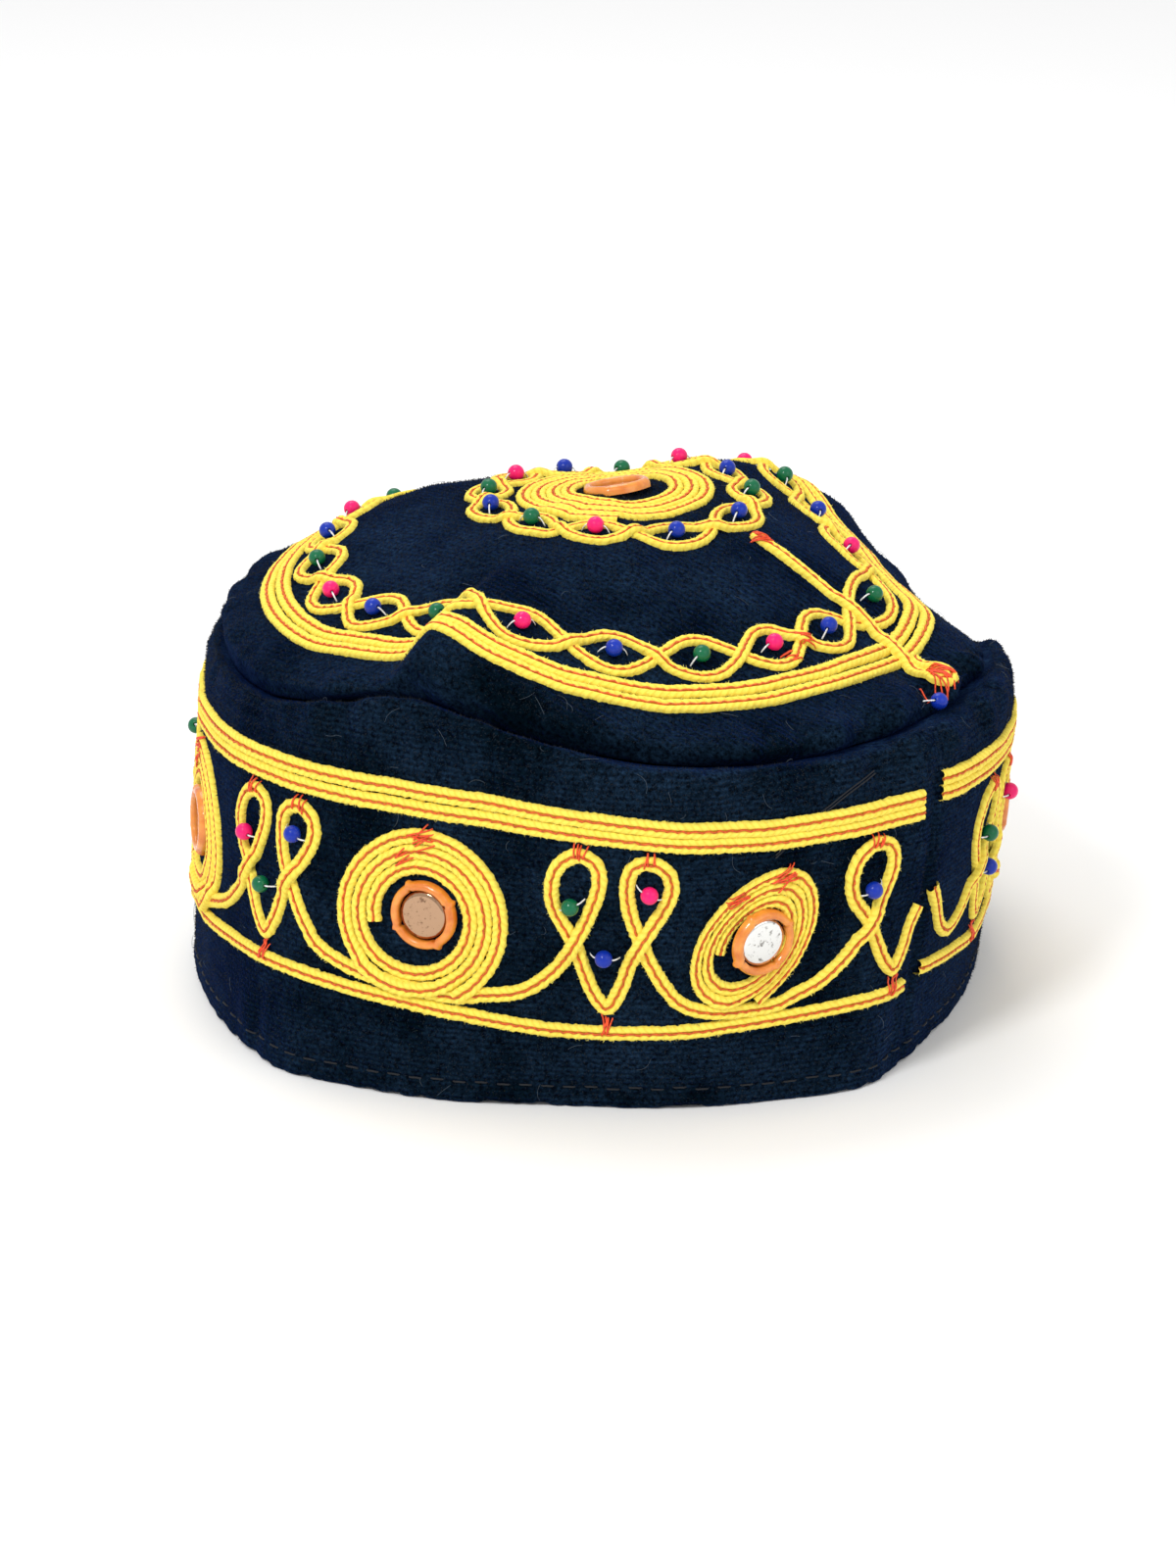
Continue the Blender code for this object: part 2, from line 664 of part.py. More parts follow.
def make_medallion(ground, material):
    offsets = coil_offsets(COIL_RADIUS, MEDALLION_TURNS, 0.0)
    route = [medallion_spot(-turn, radius) for turn, radius in offsets]
    return couch("medallion_coil", crown_point, route, flat_cord(CORD_WIDTH), ground, material)


# Where the radial cord runs: angle past RADIAL_ANGLE in degrees, and the crown step
RADIAL_ROUTE = (
    (2.6, 0.405), (2.0, 0.440), (1.4, 0.480), (0.9, 0.520), (0.5, 0.560), (0.1, 0.600),
    (-0.2, 0.635), (-0.5, 0.665), (-0.8, 0.695), (-1.0, 0.725), (-1.3, 0.755), (-1.8, 0.785),
    (-2.4, 0.812), (-3.1, 0.840), (-4.0, 0.865), (-4.9, 0.889), (-5.8, 0.912), (-6.5, 0.930),
)


def make_radial_cord(ground, material):
    route = [(RADIAL_ANGLE + turn, step) for turn, step in RADIAL_ROUTE]
    return couch("radial_cord", crown_point, route, flat_cord(CORD_WIDTH), ground, material)


# Mirrors and beads
FOOT_SAMPLES = 48


def seat(surface, angle, step, ground, reach):
    """The ground's height under a small flat foot, with its centre, two sides and direction."""
    up = facing(surface, angle, step)
    east = Vector((0.0, 0.0, 1.0)).cross(up)
    if east.length < 1e-3:
        east = Vector((1.0, 0.0, 0.0))
    east.normalize()
    north = up.cross(east)
    centre = surface(angle, step)
    high = ground.rise(centre, up)
    for index in range(FOOT_SAMPLES):
        turn = 2 * math.pi * index / FOOT_SAMPLES
        for share in (0.5, 0.75, 0.9, 1.0):
            foot = centre + (east * math.cos(turn) + north * math.sin(turn)) * reach * share
            high = max(high, ground.rise(foot, up))
    return centre + up * (high + MIRROR_GAP), east, north, up


def turned(name, foot, outline, material):
    """A body turned round the foot's own direction from (radius, height) points."""
    centre, east, north, up = foot
    loops = []
    for index in range(SIDES):
        turn = 2 * math.pi * (index + 0.5) / SIDES
        out = east * math.cos(turn) + north * math.sin(turn)
        loops.append([centre + out * radius + up * height for radius, height in outline])
    return loft(name, loops, material, closed=True)


def make_mirror(number, foot, glass, plastic):
    """A round mirror with a bevelled edge, and the plastic ring that holds it."""
    bevel = MIRROR_THICK / 3
    disc = (
        (0.0, 0.0), (MIRROR_RADIUS, 0.0), (MIRROR_RADIUS, MIRROR_THICK - bevel),
        (MIRROR_RADIUS - bevel, MIRROR_THICK), (0.0, MIRROR_THICK),
    )
    bore = MIRROR_RADIUS + MIRROR_GAP
    rim = ((bore, 0.0), (MOUNT_RADIUS, 0.0), (MOUNT_RADIUS - bevel, MOUNT_THICK), (bore + bevel, MOUNT_THICK))
    turned_disc(f"mirror_{number}", foot, disc, glass)
    turned(f"mirror_ring_{number}", foot, rim, plastic)


def turned_disc(name, foot, outline, material):
    """A turned body that reaches its own axis, capped by its two end loops."""
    centre, east, north, up = foot
    loops = []
    for radius, height in outline[1:-1]:
        loop = []
        for index in range(SIDES):
            turn = 2 * math.pi * (index + 0.5) / SIDES
            out = east * math.cos(turn) + north * math.sin(turn)
            loop.append(centre + out * radius + up * height)
        loops.append(loop)
    return loft(name, loops, material, closed=False)


def make_bead(number, surface, angle, step, ground, material):
    """A round bead that lies on the cloth, with its bore's axis along it."""
    centre, east, north, up = seat(surface, angle, step, ground, BEAD_RADIUS / 2)
    middle = centre + up * BEAD_RADIUS
    shape = bmesh.new()
    bmesh.ops.create_uvsphere(shape, u_segments=BEAD_SIDES, v_segments=BEAD_RINGS, radius=BEAD_RADIUS)
    for vertex in shape.verts:
        ball = vertex.co.copy()
        vertex.co = middle + north * ball.x + up * ball.y + east * ball.z
    mesh = bpy.data.meshes.new(f"bead_{number}")
    shape.to_mesh(mesh)
    shape.free()
    return add_object(f"bead_{number}", mesh, material, smooth_angle=80.0)


SEAM_BEAD = (RADIAL_ANGLE - 9.5, 0.962)


def make_beads(band_ground, crown_ground, materials):
    spots = []
    for along, up, colours in BEADS:
        for repeat, colour in enumerate(colours):
            spots.append((band_point, *vine_spot(repeat, along, up), band_ground, colour))
    spots.append((crown_point, *SEAM_BEAD, crown_ground, "blue"))
    for number, (surface, angle, step, ground, colour) in enumerate(spots, start=1):
        make_bead(number, surface, angle, step, ground, materials[colour])


def main():
    clear_scene()
    velvet = make_material("navy_velvet", (0.010, 0.014, 0.040, 1.0), 0.95)
    yellow = make_material("yellow_cord", (0.86, 0.55, 0.04, 1.0), 0.80)
    glass = make_material("mirror_glass", (0.70, 0.70, 0.70, 1.0), 0.05, 1.0)
    plastic = make_material("orange_plastic", (0.80, 0.25, 0.03, 1.0), 0.30)
    beads = {name: make_material(f"{name}_bead", colour, 0.25) for name, colour in BEAD_COLOURS.items()}

    angles = columns()
    band = loft("side_band", [band_loop(angle) for angle in angles], velvet, closed=True)
    crown = loft("crown", [crown_loop(angle) for angle in angles], velvet, closed=True)

    band_ground = Ground(band)
    tapes = round_the_band(border_height)
    couch("band_border", band_point, tapes, double_tape(BORDER_WIDTH), band_ground, yellow)
    cord = round_the_band(cord_height)
    low_cord = couch("band_cord", band_point, cord, flat_cord(CORD_WIDTH), band_ground, yellow)
    vine = make_vine(Ground(band, low_cord), yellow)
    under_roundels = Ground(band, low_cord, vine)
    for index, (centre, *_) in enumerate(ROUNDELS):
        coil = make_roundel(index, under_roundels, yellow)
        spot = near_roundel(centre, 0.0, MIRROR_LIFT)
        foot = seat(band_point, *spot, Ground(band, coil), MOUNT_RADIUS)
        make_mirror(index + 1, foot, glass, plastic)

    crown_ground = Ground(crown)
    crown_tapes = make_crown_border(crown_ground, yellow)
    crossings = all_crossings(RING_CROSSINGS, LATTICE_LENSES)
    lattice = make_lattice("crown_lattice", crossings, LATTICE_WIDTH, ring_lattice_spot, crown, yellow)
    crossings = all_crossings(MEDALLION_CROSSINGS, MEDALLION_LENSES)
    make_lattice("medallion_lattice", crossings, MEDALLION_BAND, medallion_lattice_spot, crown, yellow)
    medallion = make_medallion(crown_ground, yellow)
    make_radial_cord(Ground(crown, crown_tapes, *lattice), yellow)
    spot = medallion_spot(0.0, 0.0)
    foot = seat(crown_point, *spot, Ground(crown, medallion), MOUNT_RADIUS)
    make_mirror(len(ROUNDELS) + 1, foot, glass, plastic)
    make_beads(band_ground, crown_ground, beads)


main()
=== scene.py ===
"""Looks of the soft embroidered skullcap: fine velvet, couched braid, mirrors and round beads.

Metres, +Z up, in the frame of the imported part. The shapes below repeat the part's own sizes.
"""

import math

import bpy
import numpy as np
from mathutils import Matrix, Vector
from mathutils.bvhtree import BVHTree


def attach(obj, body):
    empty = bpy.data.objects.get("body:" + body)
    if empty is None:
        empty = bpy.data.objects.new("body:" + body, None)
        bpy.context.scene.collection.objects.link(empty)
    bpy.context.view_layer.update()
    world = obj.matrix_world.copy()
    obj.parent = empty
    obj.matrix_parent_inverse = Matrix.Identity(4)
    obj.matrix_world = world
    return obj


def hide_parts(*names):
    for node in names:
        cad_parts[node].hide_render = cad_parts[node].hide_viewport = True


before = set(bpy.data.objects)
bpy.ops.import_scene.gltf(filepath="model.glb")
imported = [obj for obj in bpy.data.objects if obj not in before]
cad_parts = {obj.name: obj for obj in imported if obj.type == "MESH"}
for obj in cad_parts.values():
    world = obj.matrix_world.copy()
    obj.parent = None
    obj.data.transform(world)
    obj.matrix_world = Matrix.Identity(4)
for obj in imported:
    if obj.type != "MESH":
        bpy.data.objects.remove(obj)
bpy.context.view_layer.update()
RANDOM = np.random.default_rng(7)

# Cap
CAP_RADIUS = 0.092
BORDER_HEIGHT = 0.072
SEAM_HEIGHT = 0.081
RING_RADIUS = 0.078
RING_HEIGHT = 0.089
CROWN_HEIGHT = 0.114
MEDALLION_RADIUS = 0.036
CENTRE_X = 0.0009
CENTRE_Y = 0.0008
BULGE_OUT = 0.0004
CLOTH = 0.0022
FLANGE = 0.0042
SEAM_GAP = 0.0003
SEAM_ANGLE = 45.8
SEAM_STEP = 0.0032
SEAM_FADE = 38.0

# Cords
CORD_WIDTH = 0.0033
CORD_THICK = 0.0012
BORDER_WIDTH = 0.0074
LATTICE_CORD = 0.0028
CORD_LINE = 0.0190
CORD_GAP = 0.0004
REPEAT_ANGLE = 48.3
LOOP_HEADROOM = 0.0031
ROUNDEL_HEADROOM = 0.0024
ROUNDEL_FOOT = 0.0031
ROUNDEL_START = -150.0
ROUNDEL_TURNS = 2.7
COIL_STEP = 15.0
COIL_SHIFT = 0.0016
COIL_PITCH = 0.0035
LATTICE_LENSES = 22
LATTICE_WIDTH = 0.0125
MEDALLION_LENSES = 12
MEDALLION_X = 0.0025
MEDALLION_Y = 0.0055
COIL_RADIUS = 0.0243
MEDALLION_TURNS = 3.4
RADIAL_ANGLE = 62.0

# Mirrors and beads
MOUNT_RADIUS = 0.00775
MIRROR_LIFT = 0.0006
BEAD_RADIUS = 0.00195

SECTION_NAMES = (
    "angle", "hem", "border", "border_h", "crest", "crest_h", "seam", "seam_h",
    "bulge", "bulge_h", "ring", "ring_h", "medal_h", "cord_h",
)
SECTIONS = (
    (-180, 1.038, 1.038, 1.000, 1.011, 1.012, 0.957, 1.000, 0.978, 1.040, 1.000, 0.970, 0.940, 1.00),
    (-150, 1.049, 1.043, 1.000, 1.016, 1.012, 0.962, 1.000, 0.984, 1.036, 1.005, 0.966, 0.945, 1.00),
    (-120, 1.065, 1.028, 1.000, 1.003, 1.006, 0.957, 0.994, 0.973, 1.066, 1.019, 1.024, 0.950, 1.02),
    (-96, 1.062, 1.007, 0.990, 0.985, 0.994, 0.948, 0.988, 0.962, 1.066, 1.012, 1.024, 0.952, 1.03),
    (-78, 1.043, 1.007, 0.992, 0.982, 0.994, 0.953, 0.988, 0.960, 1.068, 1.019, 1.022, 0.957, 1.12),
    (-60, 1.058, 1.022, 1.007, 1.000, 1.012, 0.957, 1.000, 0.957, 1.062, 1.013, 1.017, 0.957, 1.27),
    (-48, 1.082, 1.011, 1.014, 0.989, 1.037, 0.935, 1.031, 0.946, 1.086, 0.987, 1.034, 0.965, 1.30),
    (-36, 1.038, 0.984, 1.014, 0.957, 1.086, 0.902, 1.080, 0.924, 1.123, 0.974, 1.062, 0.965, 1.22),
    (-30, 1.022, 0.967, 1.014, 0.946, 1.105, 0.902, 1.096, 0.913, 1.198, 0.974, 1.157, 0.965, 1.18),
    (-18, 0.984, 0.978, 1.014, 0.957, 1.080, 0.908, 1.056, 0.913, 1.136, 1.000, 1.101, 0.965, 1.08),
    (-6, 0.957, 1.022, 1.004, 1.000, 1.031, 0.924, 1.012, 0.924, 1.086, 1.000, 1.037, 0.961, 1.00),
    (12, 0.984, 1.076, 0.972, 1.054, 0.981, 0.957, 0.969, 0.957, 1.025, 1.000, 0.983, 0.957, 1.07),
    (24, 1.005, 1.065, 0.954, 1.040, 0.967, 0.978, 0.963, 0.978, 1.012, 1.000, 0.973, 0.948, 1.15),
    (36, 1.043, 1.071, 0.954, 1.050, 0.969, 0.984, 0.969, 0.978, 1.019, 1.000, 0.978, 0.948, 1.20),
    (48, 0.984, 1.090, 0.958, 1.068, 0.981, 0.989, 0.981, 0.978, 1.025, 1.000, 0.980, 0.948, 1.15),
    (60, 0.946, 1.071, 0.972, 1.054, 1.000, 0.967, 0.988, 0.967, 1.037, 1.000, 0.972, 0.952, 1.08),
    (76, 0.935, 1.033, 0.972, 1.010, 0.985, 0.954, 0.975, 0.944, 1.006, 0.981, 0.989, 0.957, 1.00),
    (90, 0.951, 1.007, 0.931, 0.986, 0.955, 0.941, 0.945, 0.914, 0.972, 0.912, 0.989, 0.961, 1.00),
    (106, 1.000, 0.995, 0.903, 0.967, 0.870, 0.924, 0.877, 0.880, 0.944, 0.859, 1.011, 0.970, 1.00),
    (122, 1.065, 1.011, 0.924, 0.967, 0.889, 0.913, 0.889, 0.886, 1.008, 0.875, 1.042, 0.978, 1.00),
    (138, 1.076, 1.033, 0.972, 0.989, 0.981, 0.935, 0.975, 0.929, 1.110, 0.912, 1.132, 0.981, 1.00),
    (156, 1.054, 1.043, 1.000, 1.011, 1.012, 0.957, 1.000, 0.967, 1.086, 0.974, 1.040, 0.962, 1.00),
)
SCALES = (
    1.0, CAP_RADIUS, CAP_RADIUS, BORDER_HEIGHT, CAP_RADIUS, SEAM_HEIGHT, CAP_RADIUS, SEAM_HEIGHT,
    CAP_RADIUS, SEAM_HEIGHT, RING_RADIUS, RING_HEIGHT, CROWN_HEIGHT, CORD_LINE,
)
# Soft humps of the crown: middle's angle and step, half widths, rise as a share of HUMP_RISE
HUMP_RISE = 0.0050
CROWN_HUMPS = (
    (-130.0, 0.58, 62.0, 0.32, 0.88),
    (148.0, 0.56, 34.0, 0.32, 0.50),
)
BAND_STEPS = (0.0, 0.4, 0.8, 0.93, 1.0)
CROWN_STEPS = (0.0, 0.4, 0.84, 0.95, 1.0)
BORDER_STEP = BAND_STEPS[2]
MEDALLION_STEP = CROWN_STEPS[1]
RING_STEP = CROWN_STEPS[2]

# One repeat of the vine: along, up, over
VINE = (
    (-0.420, 0.000, 0), (-0.348, 0.045, 0), (-0.240, 0.118, 0), (-0.152, 0.272, 0),
    (-0.091, 0.454, 1), (-0.048, 0.649, 0), (-0.021, 0.856, 0), (-0.034, 0.965, 0),
    (-0.077, 1.000, 0), (-0.128, 0.936, 0), (-0.152, 0.815, 0), (-0.146, 0.662, 0),
    (-0.091, 0.454, 0), (-0.064, 0.292, 0), (-0.034, 0.144, 0), (0.000, 0.067, 0),
    (0.034, 0.177, 0), (0.064, 0.367, 0), (0.091, 0.492, 1), (0.139, 0.664, 0),
    (0.169, 0.836, 0), (0.156, 0.950, 0), (0.112, 1.000, 0), (0.067, 0.955, 0),
    (0.052, 0.828, 0), (0.063, 0.659, 0), (0.091, 0.492, 0), (0.119, 0.354, 0),
    (0.159, 0.200, 0), (0.193, 0.110, 0), (0.247, 0.054, 0), (0.330, 0.015, 0),
    (0.420, 0.000, 0),
)
VINE_BEGIN = (
    (-0.400, 0.530, 0), (-0.365, 0.360, 0), (-0.325, 0.200, 0), (-0.285, 0.120, 0),
    (-0.245, 0.100, 0), (-0.200, 0.160, 0),
)
VINE_END = ((0.088, 0.470, 0),)
FIRST_WHOLE_ROW = 3
LAST_CUT_ROW = 18
LOOP_ANGLES = (66.3, 114.2, 162.3, 210.3, 258.4, 308.8, 360.0, 400.2)
ROUNDELS = (
    (90.1, 1.00, 1.00, 0.00), (138.2, 1.00, 1.00, 0.00), (186.3, 1.00, 1.00, 0.00),
    (234.4, 1.00, 1.00, 0.00), (282.5, 1.00, 1.00, 0.00), (334.1, 1.00, 1.00, 0.05),
    (380.0, 0.66, 0.87, 0.34),
)
STEADY_SHARE = 0.2
RING_CROSSINGS = (
    -95.5, -78.5, -61.5, -45.0, -26.5, -7.5, 9.4, 27.5, 42.0, 57.0, 84.0, 105.0, 125.0,
)
MEDALLION_CROSSINGS = (-89.0, -54.0, -25.0, 6.0, 45.0, 82.0, 110.0)
LENS_STATIONS = (0.0, 0.14, 0.38, 0.62, 0.86)
RADIAL_ROUTE = (
    (2.6, 0.405), (2.0, 0.440), (1.4, 0.480), (0.9, 0.520), (0.5, 0.560), (0.1, 0.600),
    (-0.2, 0.635), (-0.5, 0.665), (-0.8, 0.695), (-1.0, 0.725), (-1.3, 0.755), (-1.8, 0.785),
    (-2.4, 0.812), (-3.1, 0.840), (-4.0, 0.865), (-4.9, 0.889), (-5.8, 0.912), (-6.5, 0.930),
)
# The cord turns back beside itself at its lower end
RADIAL_RETURN = (
    (-5.7, 0.946), (-4.4, 0.944), (-3.7, 0.928), (-3.2, 0.908), (-2.5, 0.885), (-1.7, 0.862),
    (-0.9, 0.838),
)

# Beads of one repeat: along, up, colours of the successive repeats by their first letters
BEADS = ((-0.097, 0.700, "gpbgbpgb"), (-0.006, 0.400, "bgpbpgb"), (0.112, 0.820, "pbgpgbp"))
SEAM_BEAD = (RADIAL_ANGLE - 9.5, 0.962)
# The same in the lenses of the crown's two lattices, in the order of their crossings
RING_BEADS = "gpbgpbgpbgpbgpbgpbpgpb"
MEDALLION_BEADS = "bgpbbgbpgbpg"


# Smooth surfaces, for whole arrays of places at once
def rounded_slopes(knots, values):
    steps = np.diff(knots)[:, None]
    rises = np.diff(values, axis=0) / steps
    slopes = np.zeros_like(values)
    before = 2 * steps[1:] + steps[:-1]
    after = steps[1:] + 2 * steps[:-1]
    same_way = rises[:-1] * rises[1:] > 0
    safe = np.where(same_way, rises[:-1] * rises[1:], 1.0)
    blend = (before + after) * safe
    blend = blend / np.where(same_way, before * rises[1:] + after * rises[:-1], 1.0)
    slopes[1:-1] = np.where(same_way, blend, 0.0)
    return slopes


def wrapped_table():
    table = np.array(SECTIONS, float) * np.array(SCALES)
    low = table[-3:].copy()
    high = table[:3].copy()
    low[:, 0] -= 360.0
    high[:, 0] += 360.0
    return np.vstack([low, table, high])


TABLE = wrapped_table()
SLOPES = rounded_slopes(TABLE[:, 0], TABLE)


def hermite(start, end, slope_start, slope_end, width, share):
    cube = share**3
    square = share**2
    value = (2 * cube - 3 * square + 1) * start + (3 * square - 2 * cube) * end
    bend = (cube - 2 * square + share) * slope_start + (cube - square) * slope_end
    return value + bend * width


def section(angle):
    turned = (np.atleast_1d(np.asarray(angle, float)) + 180.0) % 360.0 - 180.0
    row = np.searchsorted(TABLE[:, 0], turned, side="right") - 1
    width = TABLE[row + 1, 0] - TABLE[row, 0]
    share = (turned - TABLE[row, 0]) / width
    values = hermite(
        TABLE[row], TABLE[row + 1], SLOPES[row], SLOPES[row + 1], width[:, None], share[:, None]
    )
    return {name: values[:, index] for index, name in enumerate(SECTION_NAMES)}


def through(knots, points, at):
    """A smooth curve through points (knot, place, 2), read at one value for each place."""
    knots = np.array(knots)
    count = len(knots)
    row = np.clip(np.searchsorted(knots, at, side="right") - 1, 0, count - 2)
    first = np.maximum(np.arange(count) - 1, 0)
    last = np.minimum(np.arange(count) + 1, count - 1)
    slopes = (points[last] - points[first]) / (knots[last] - knots[first])[:, None, None]
    place_at = np.arange(len(at))
    width = (knots[row + 1] - knots[row])[:, None]
    share = (at - knots[row])[:, None] / width
    return hermite(
        points[row, place_at], points[row + 1, place_at],
        slopes[row, place_at], slopes[row + 1, place_at], width, share,
    )


def rows_of(*pairs):
    """Points (row, place, 2) from pairs of columns."""
    return np.stack([np.stack(pair, 1) for pair in pairs])


def both(angle, step):
    angle, step = np.broadcast_arrays(np.atleast_1d(angle), np.atleast_1d(step))
    return angle.astype(float), step.astype(float)


def band_section(angle, step):
    angle, step = both(angle, step)
    at = section(angle)
    middle = (at["hem"] + at["border"]) / 2 + BULGE_OUT
    points = rows_of(
        (at["hem"], 0 * middle), (middle, at["border_h"] / 2), (at["border"], at["border_h"]),
        (at["crest"], at["crest_h"]), (at["seam"], at["seam_h"]),
    )
    return through(BAND_STEPS, points, step)


def crown_section(angle, step):
    angle, step = both(angle, step)
    at = section(angle)
    same = np.ones_like(angle)
    points = rows_of(
        (0 * same, CROWN_HEIGHT * same), (MEDALLION_RADIUS * same, at["medal_h"]),
        (at["ring"], at["ring_h"]), (at["bulge"], at["bulge_h"]),
        (at["seam"] - SEAM_GAP, at["seam_h"] + SEAM_GAP),
    )
    curve = through(CROWN_STEPS, points, step)
    for middle, middle_step, wide, deep, rise in CROWN_HUMPS:
        turned = np.minimum(np.abs((angle - middle + 180.0) % 360.0 - 180.0) / wide, 1.0)
        away = np.minimum(np.abs(step - middle_step) / deep, 1.0)
        curve[:, 1] += rise * HUMP_RISE * (np.cos(math.pi / 2 * turned) * np.cos(math.pi / 2 * away)) ** 2
    return curve


def place(angle, section_points):
    turn = np.radians(np.atleast_1d(angle))
    radius = section_points[:, 0]
    return np.stack(
        [CENTRE_X + radius * np.sin(turn), CENTRE_Y - radius * np.cos(turn), section_points[:, 1]], 1
    )


def height_step(height):
    return BORDER_STEP * height / BORDER_HEIGHT


def ring_step(angle, inward):
    reach = section(angle)["ring"] - MEDALLION_RADIUS
    return RING_STEP - inward * (RING_STEP - MEDALLION_STEP) / reach


# Charts: flat coordinates in metres for drawing on the band and on the crown
BAND_SCALE = CAP_RADIUS * math.pi / 180.0
CROWN_SCALE = MEDALLION_RADIUS / MEDALLION_STEP


def band_chart(flat):
    angle = flat[:, 0] / BAND_SCALE
    return place(angle, band_section(angle, np.clip(height_step(flat[:, 1]), 0.0, 1.0)))


def crown_chart(flat):
    angle = np.degrees(np.arctan2(flat[:, 0], -flat[:, 1]))
    step = np.hypot(flat[:, 0], flat[:, 1]) / CROWN_SCALE
    return place(angle, crown_section(angle, np.clip(step, 0.0, 1.0)))


def on_band(angle, height):
    return angle * BAND_SCALE, height


def on_crown(angle, step):
    turn = math.radians(angle)
    return step * CROWN_SCALE * math.sin(turn), -step * CROWN_SCALE * math.cos(turn)


def unit(rows):
    return rows / np.maximum(np.linalg.norm(rows, axis=1, keepdims=True), 1e-12)


def outward(chart, flat):
    small = 0.0006
    along = chart(flat + (small, 0.0)) - chart(flat - (small, 0.0))
    across = chart(flat + (0.0, small)) - chart(flat - (0.0, small))
    return unit(np.cross(along, across))


def lumps(points, size, seed):
    """Smooth noise between -1 and 1, with lumps about size across."""
    scaled = np.asarray(points) / size
    cell = np.floor(scaled).astype(np.int64)
    share = scaled - cell
    share = share * share * (3 - 2 * share)
    total = np.zeros(len(scaled))
    for corner in np.ndindex(*(2,) * scaled.shape[1]):
        key = np.full(len(scaled), seed * 7919, np.int64)
        weight = np.ones(len(scaled))
        for axis, side in enumerate(corner):
            key = key * 31 + (cell[:, axis] + side) * (73856093, 19349663, 83492791)[axis]
            weight *= share[:, axis] if side else 1 - share[:, axis]
        key = (key ^ (key >> 13)) * 1274126177
        total += (((key >> 8) & 0xFFFF) / 32767.5 - 1) * weight
    return total


# Meshes
def add_mesh(name, points, faces, material, slot, replaced=(), uv=None, smooth=True):
    mesh = bpy.data.meshes.new(name)
    mesh.from_pydata([tuple(point) for point in points], [], [tuple(map(int, face)) for face in faces])
    mesh.materials.append(material)
    if uv is not None:
        layer = mesh.uv_layers.new(name="UVMap")
        order = np.empty(len(mesh.loops), int)
        mesh.loops.foreach_get("vertex_index", order)
        layer.data.foreach_set("uv", np.asarray(uv, float)[order].ravel())
    if smooth:
        mesh.shade_smooth()
    mesh.update()
    thing = bpy.data.objects.new(name, mesh)
    bpy.context.scene.collection.objects.link(thing)
    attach(thing, "root")
    if replaced:
        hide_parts(*replaced)
    return thing


def grid_faces(rows, cols, closed_rows=False, closed_cols=False, first=0):
    """Quads of a grid of points stored row by row."""
    row = np.arange(rows if closed_rows else rows - 1)
    col = np.arange(cols if closed_cols else cols - 1)
    row, col = np.meshgrid(row, col, indexing="ij")
    next_row = (row + 1) % rows
    next_col = (col + 1) % cols
    quads = np.stack(
        [row * cols + col, row * cols + next_col, next_row * cols + next_col, next_row * cols + col], -1
    )
    return quads.reshape(-1, 4) + first


class Ground:
    """What a thread, cord or bead lies on."""

    REACH = 0.007

    def __init__(self, *shapes):
        points = []
        faces = []
        for shape_points, shape_faces in shapes:
            faces += [[len(points) + int(index) for index in face] for face in shape_faces]
            points += [tuple(point) for point in shape_points]
        self.tree = BVHTree.FromPolygons(points, faces)

    def rise(self, places, ups):
        rises = np.empty(len(places))
        for index, (spot, up) in enumerate(zip(places, ups)):
            start = Vector(spot + up * self.REACH)
            hit = self.tree.ray_cast(start, Vector(-up), 2 * self.REACH)
            rises[index] = self.REACH - hit[3] if hit[0] is not None else -0.001
        return rises


def length_along(points):
    return np.concatenate([[0.0], np.cumsum(np.linalg.norm(np.diff(points, axis=0), axis=1))])


# Which of four neighbouring knots each level of a smooth path blends between
KNOT_SPANS = (((0, 1), (1, 2), (2, 3)), ((0, 2), (1, 3)), ((1, 2),))


def smooth_path(stations, spacing, closed=False, fine=20):
    """Even samples of a smooth curve through stations, whose first two columns are metres."""
    rows = np.array(stations, float)
    if closed:
        rows = np.vstack([rows[-1:], rows, rows[:2]])
    else:
        rows = np.vstack([2 * rows[0] - rows[1], rows, 2 * rows[-1] - rows[-2]])
    gaps = np.maximum(np.linalg.norm(np.diff(rows[:, :2], axis=0), axis=1), 1e-6) ** 0.5
    knots = np.concatenate([[0.0], np.cumsum(gaps)])
    dense = []
    for index in range(1, len(rows) - 2):
        near = knots[index - 1:index + 3]
        at = np.linspace(near[1], near[2], fine, endpoint=False)[:, None]
        level = list(rows[index - 1:index + 3])
        for spans in KNOT_SPANS:
            level = [
                (near[high] - at) / (near[high] - near[low]) * level[n]
                + (at - near[low]) / (near[high] - near[low]) * level[n + 1]
                for n, (low, high) in enumerate(spans)
            ]
        dense.append(level[0])
    dense = np.vstack(dense + [rows[-2:-1]])
    lengths = length_along(dense[:, :2])
    count = max(int(round(lengths[-1] / spacing)), 4)
    even = np.linspace(0.0, lengths[-1], count + 1)
    if closed:
        even = even[:-1]
    return np.column_stack([np.interp(even, lengths, column) for column in dense.T])


def blurred(values, width, closed):
    """A running average over about width samples."""
    reach = max(int(width), 1)
    kernel = np.hanning(2 * reach + 3)[1:-1]
    kernel /= kernel.sum()
    padded = np.pad(values, reach, mode="wrap" if closed else "edge")
    return np.convolve(padded, kernel, mode="valid")


SPACING = 0.0007
# Where across its width a cord feels for the ground, as shares of the width
FOOTING = (-0.42, 0.0, 0.42)


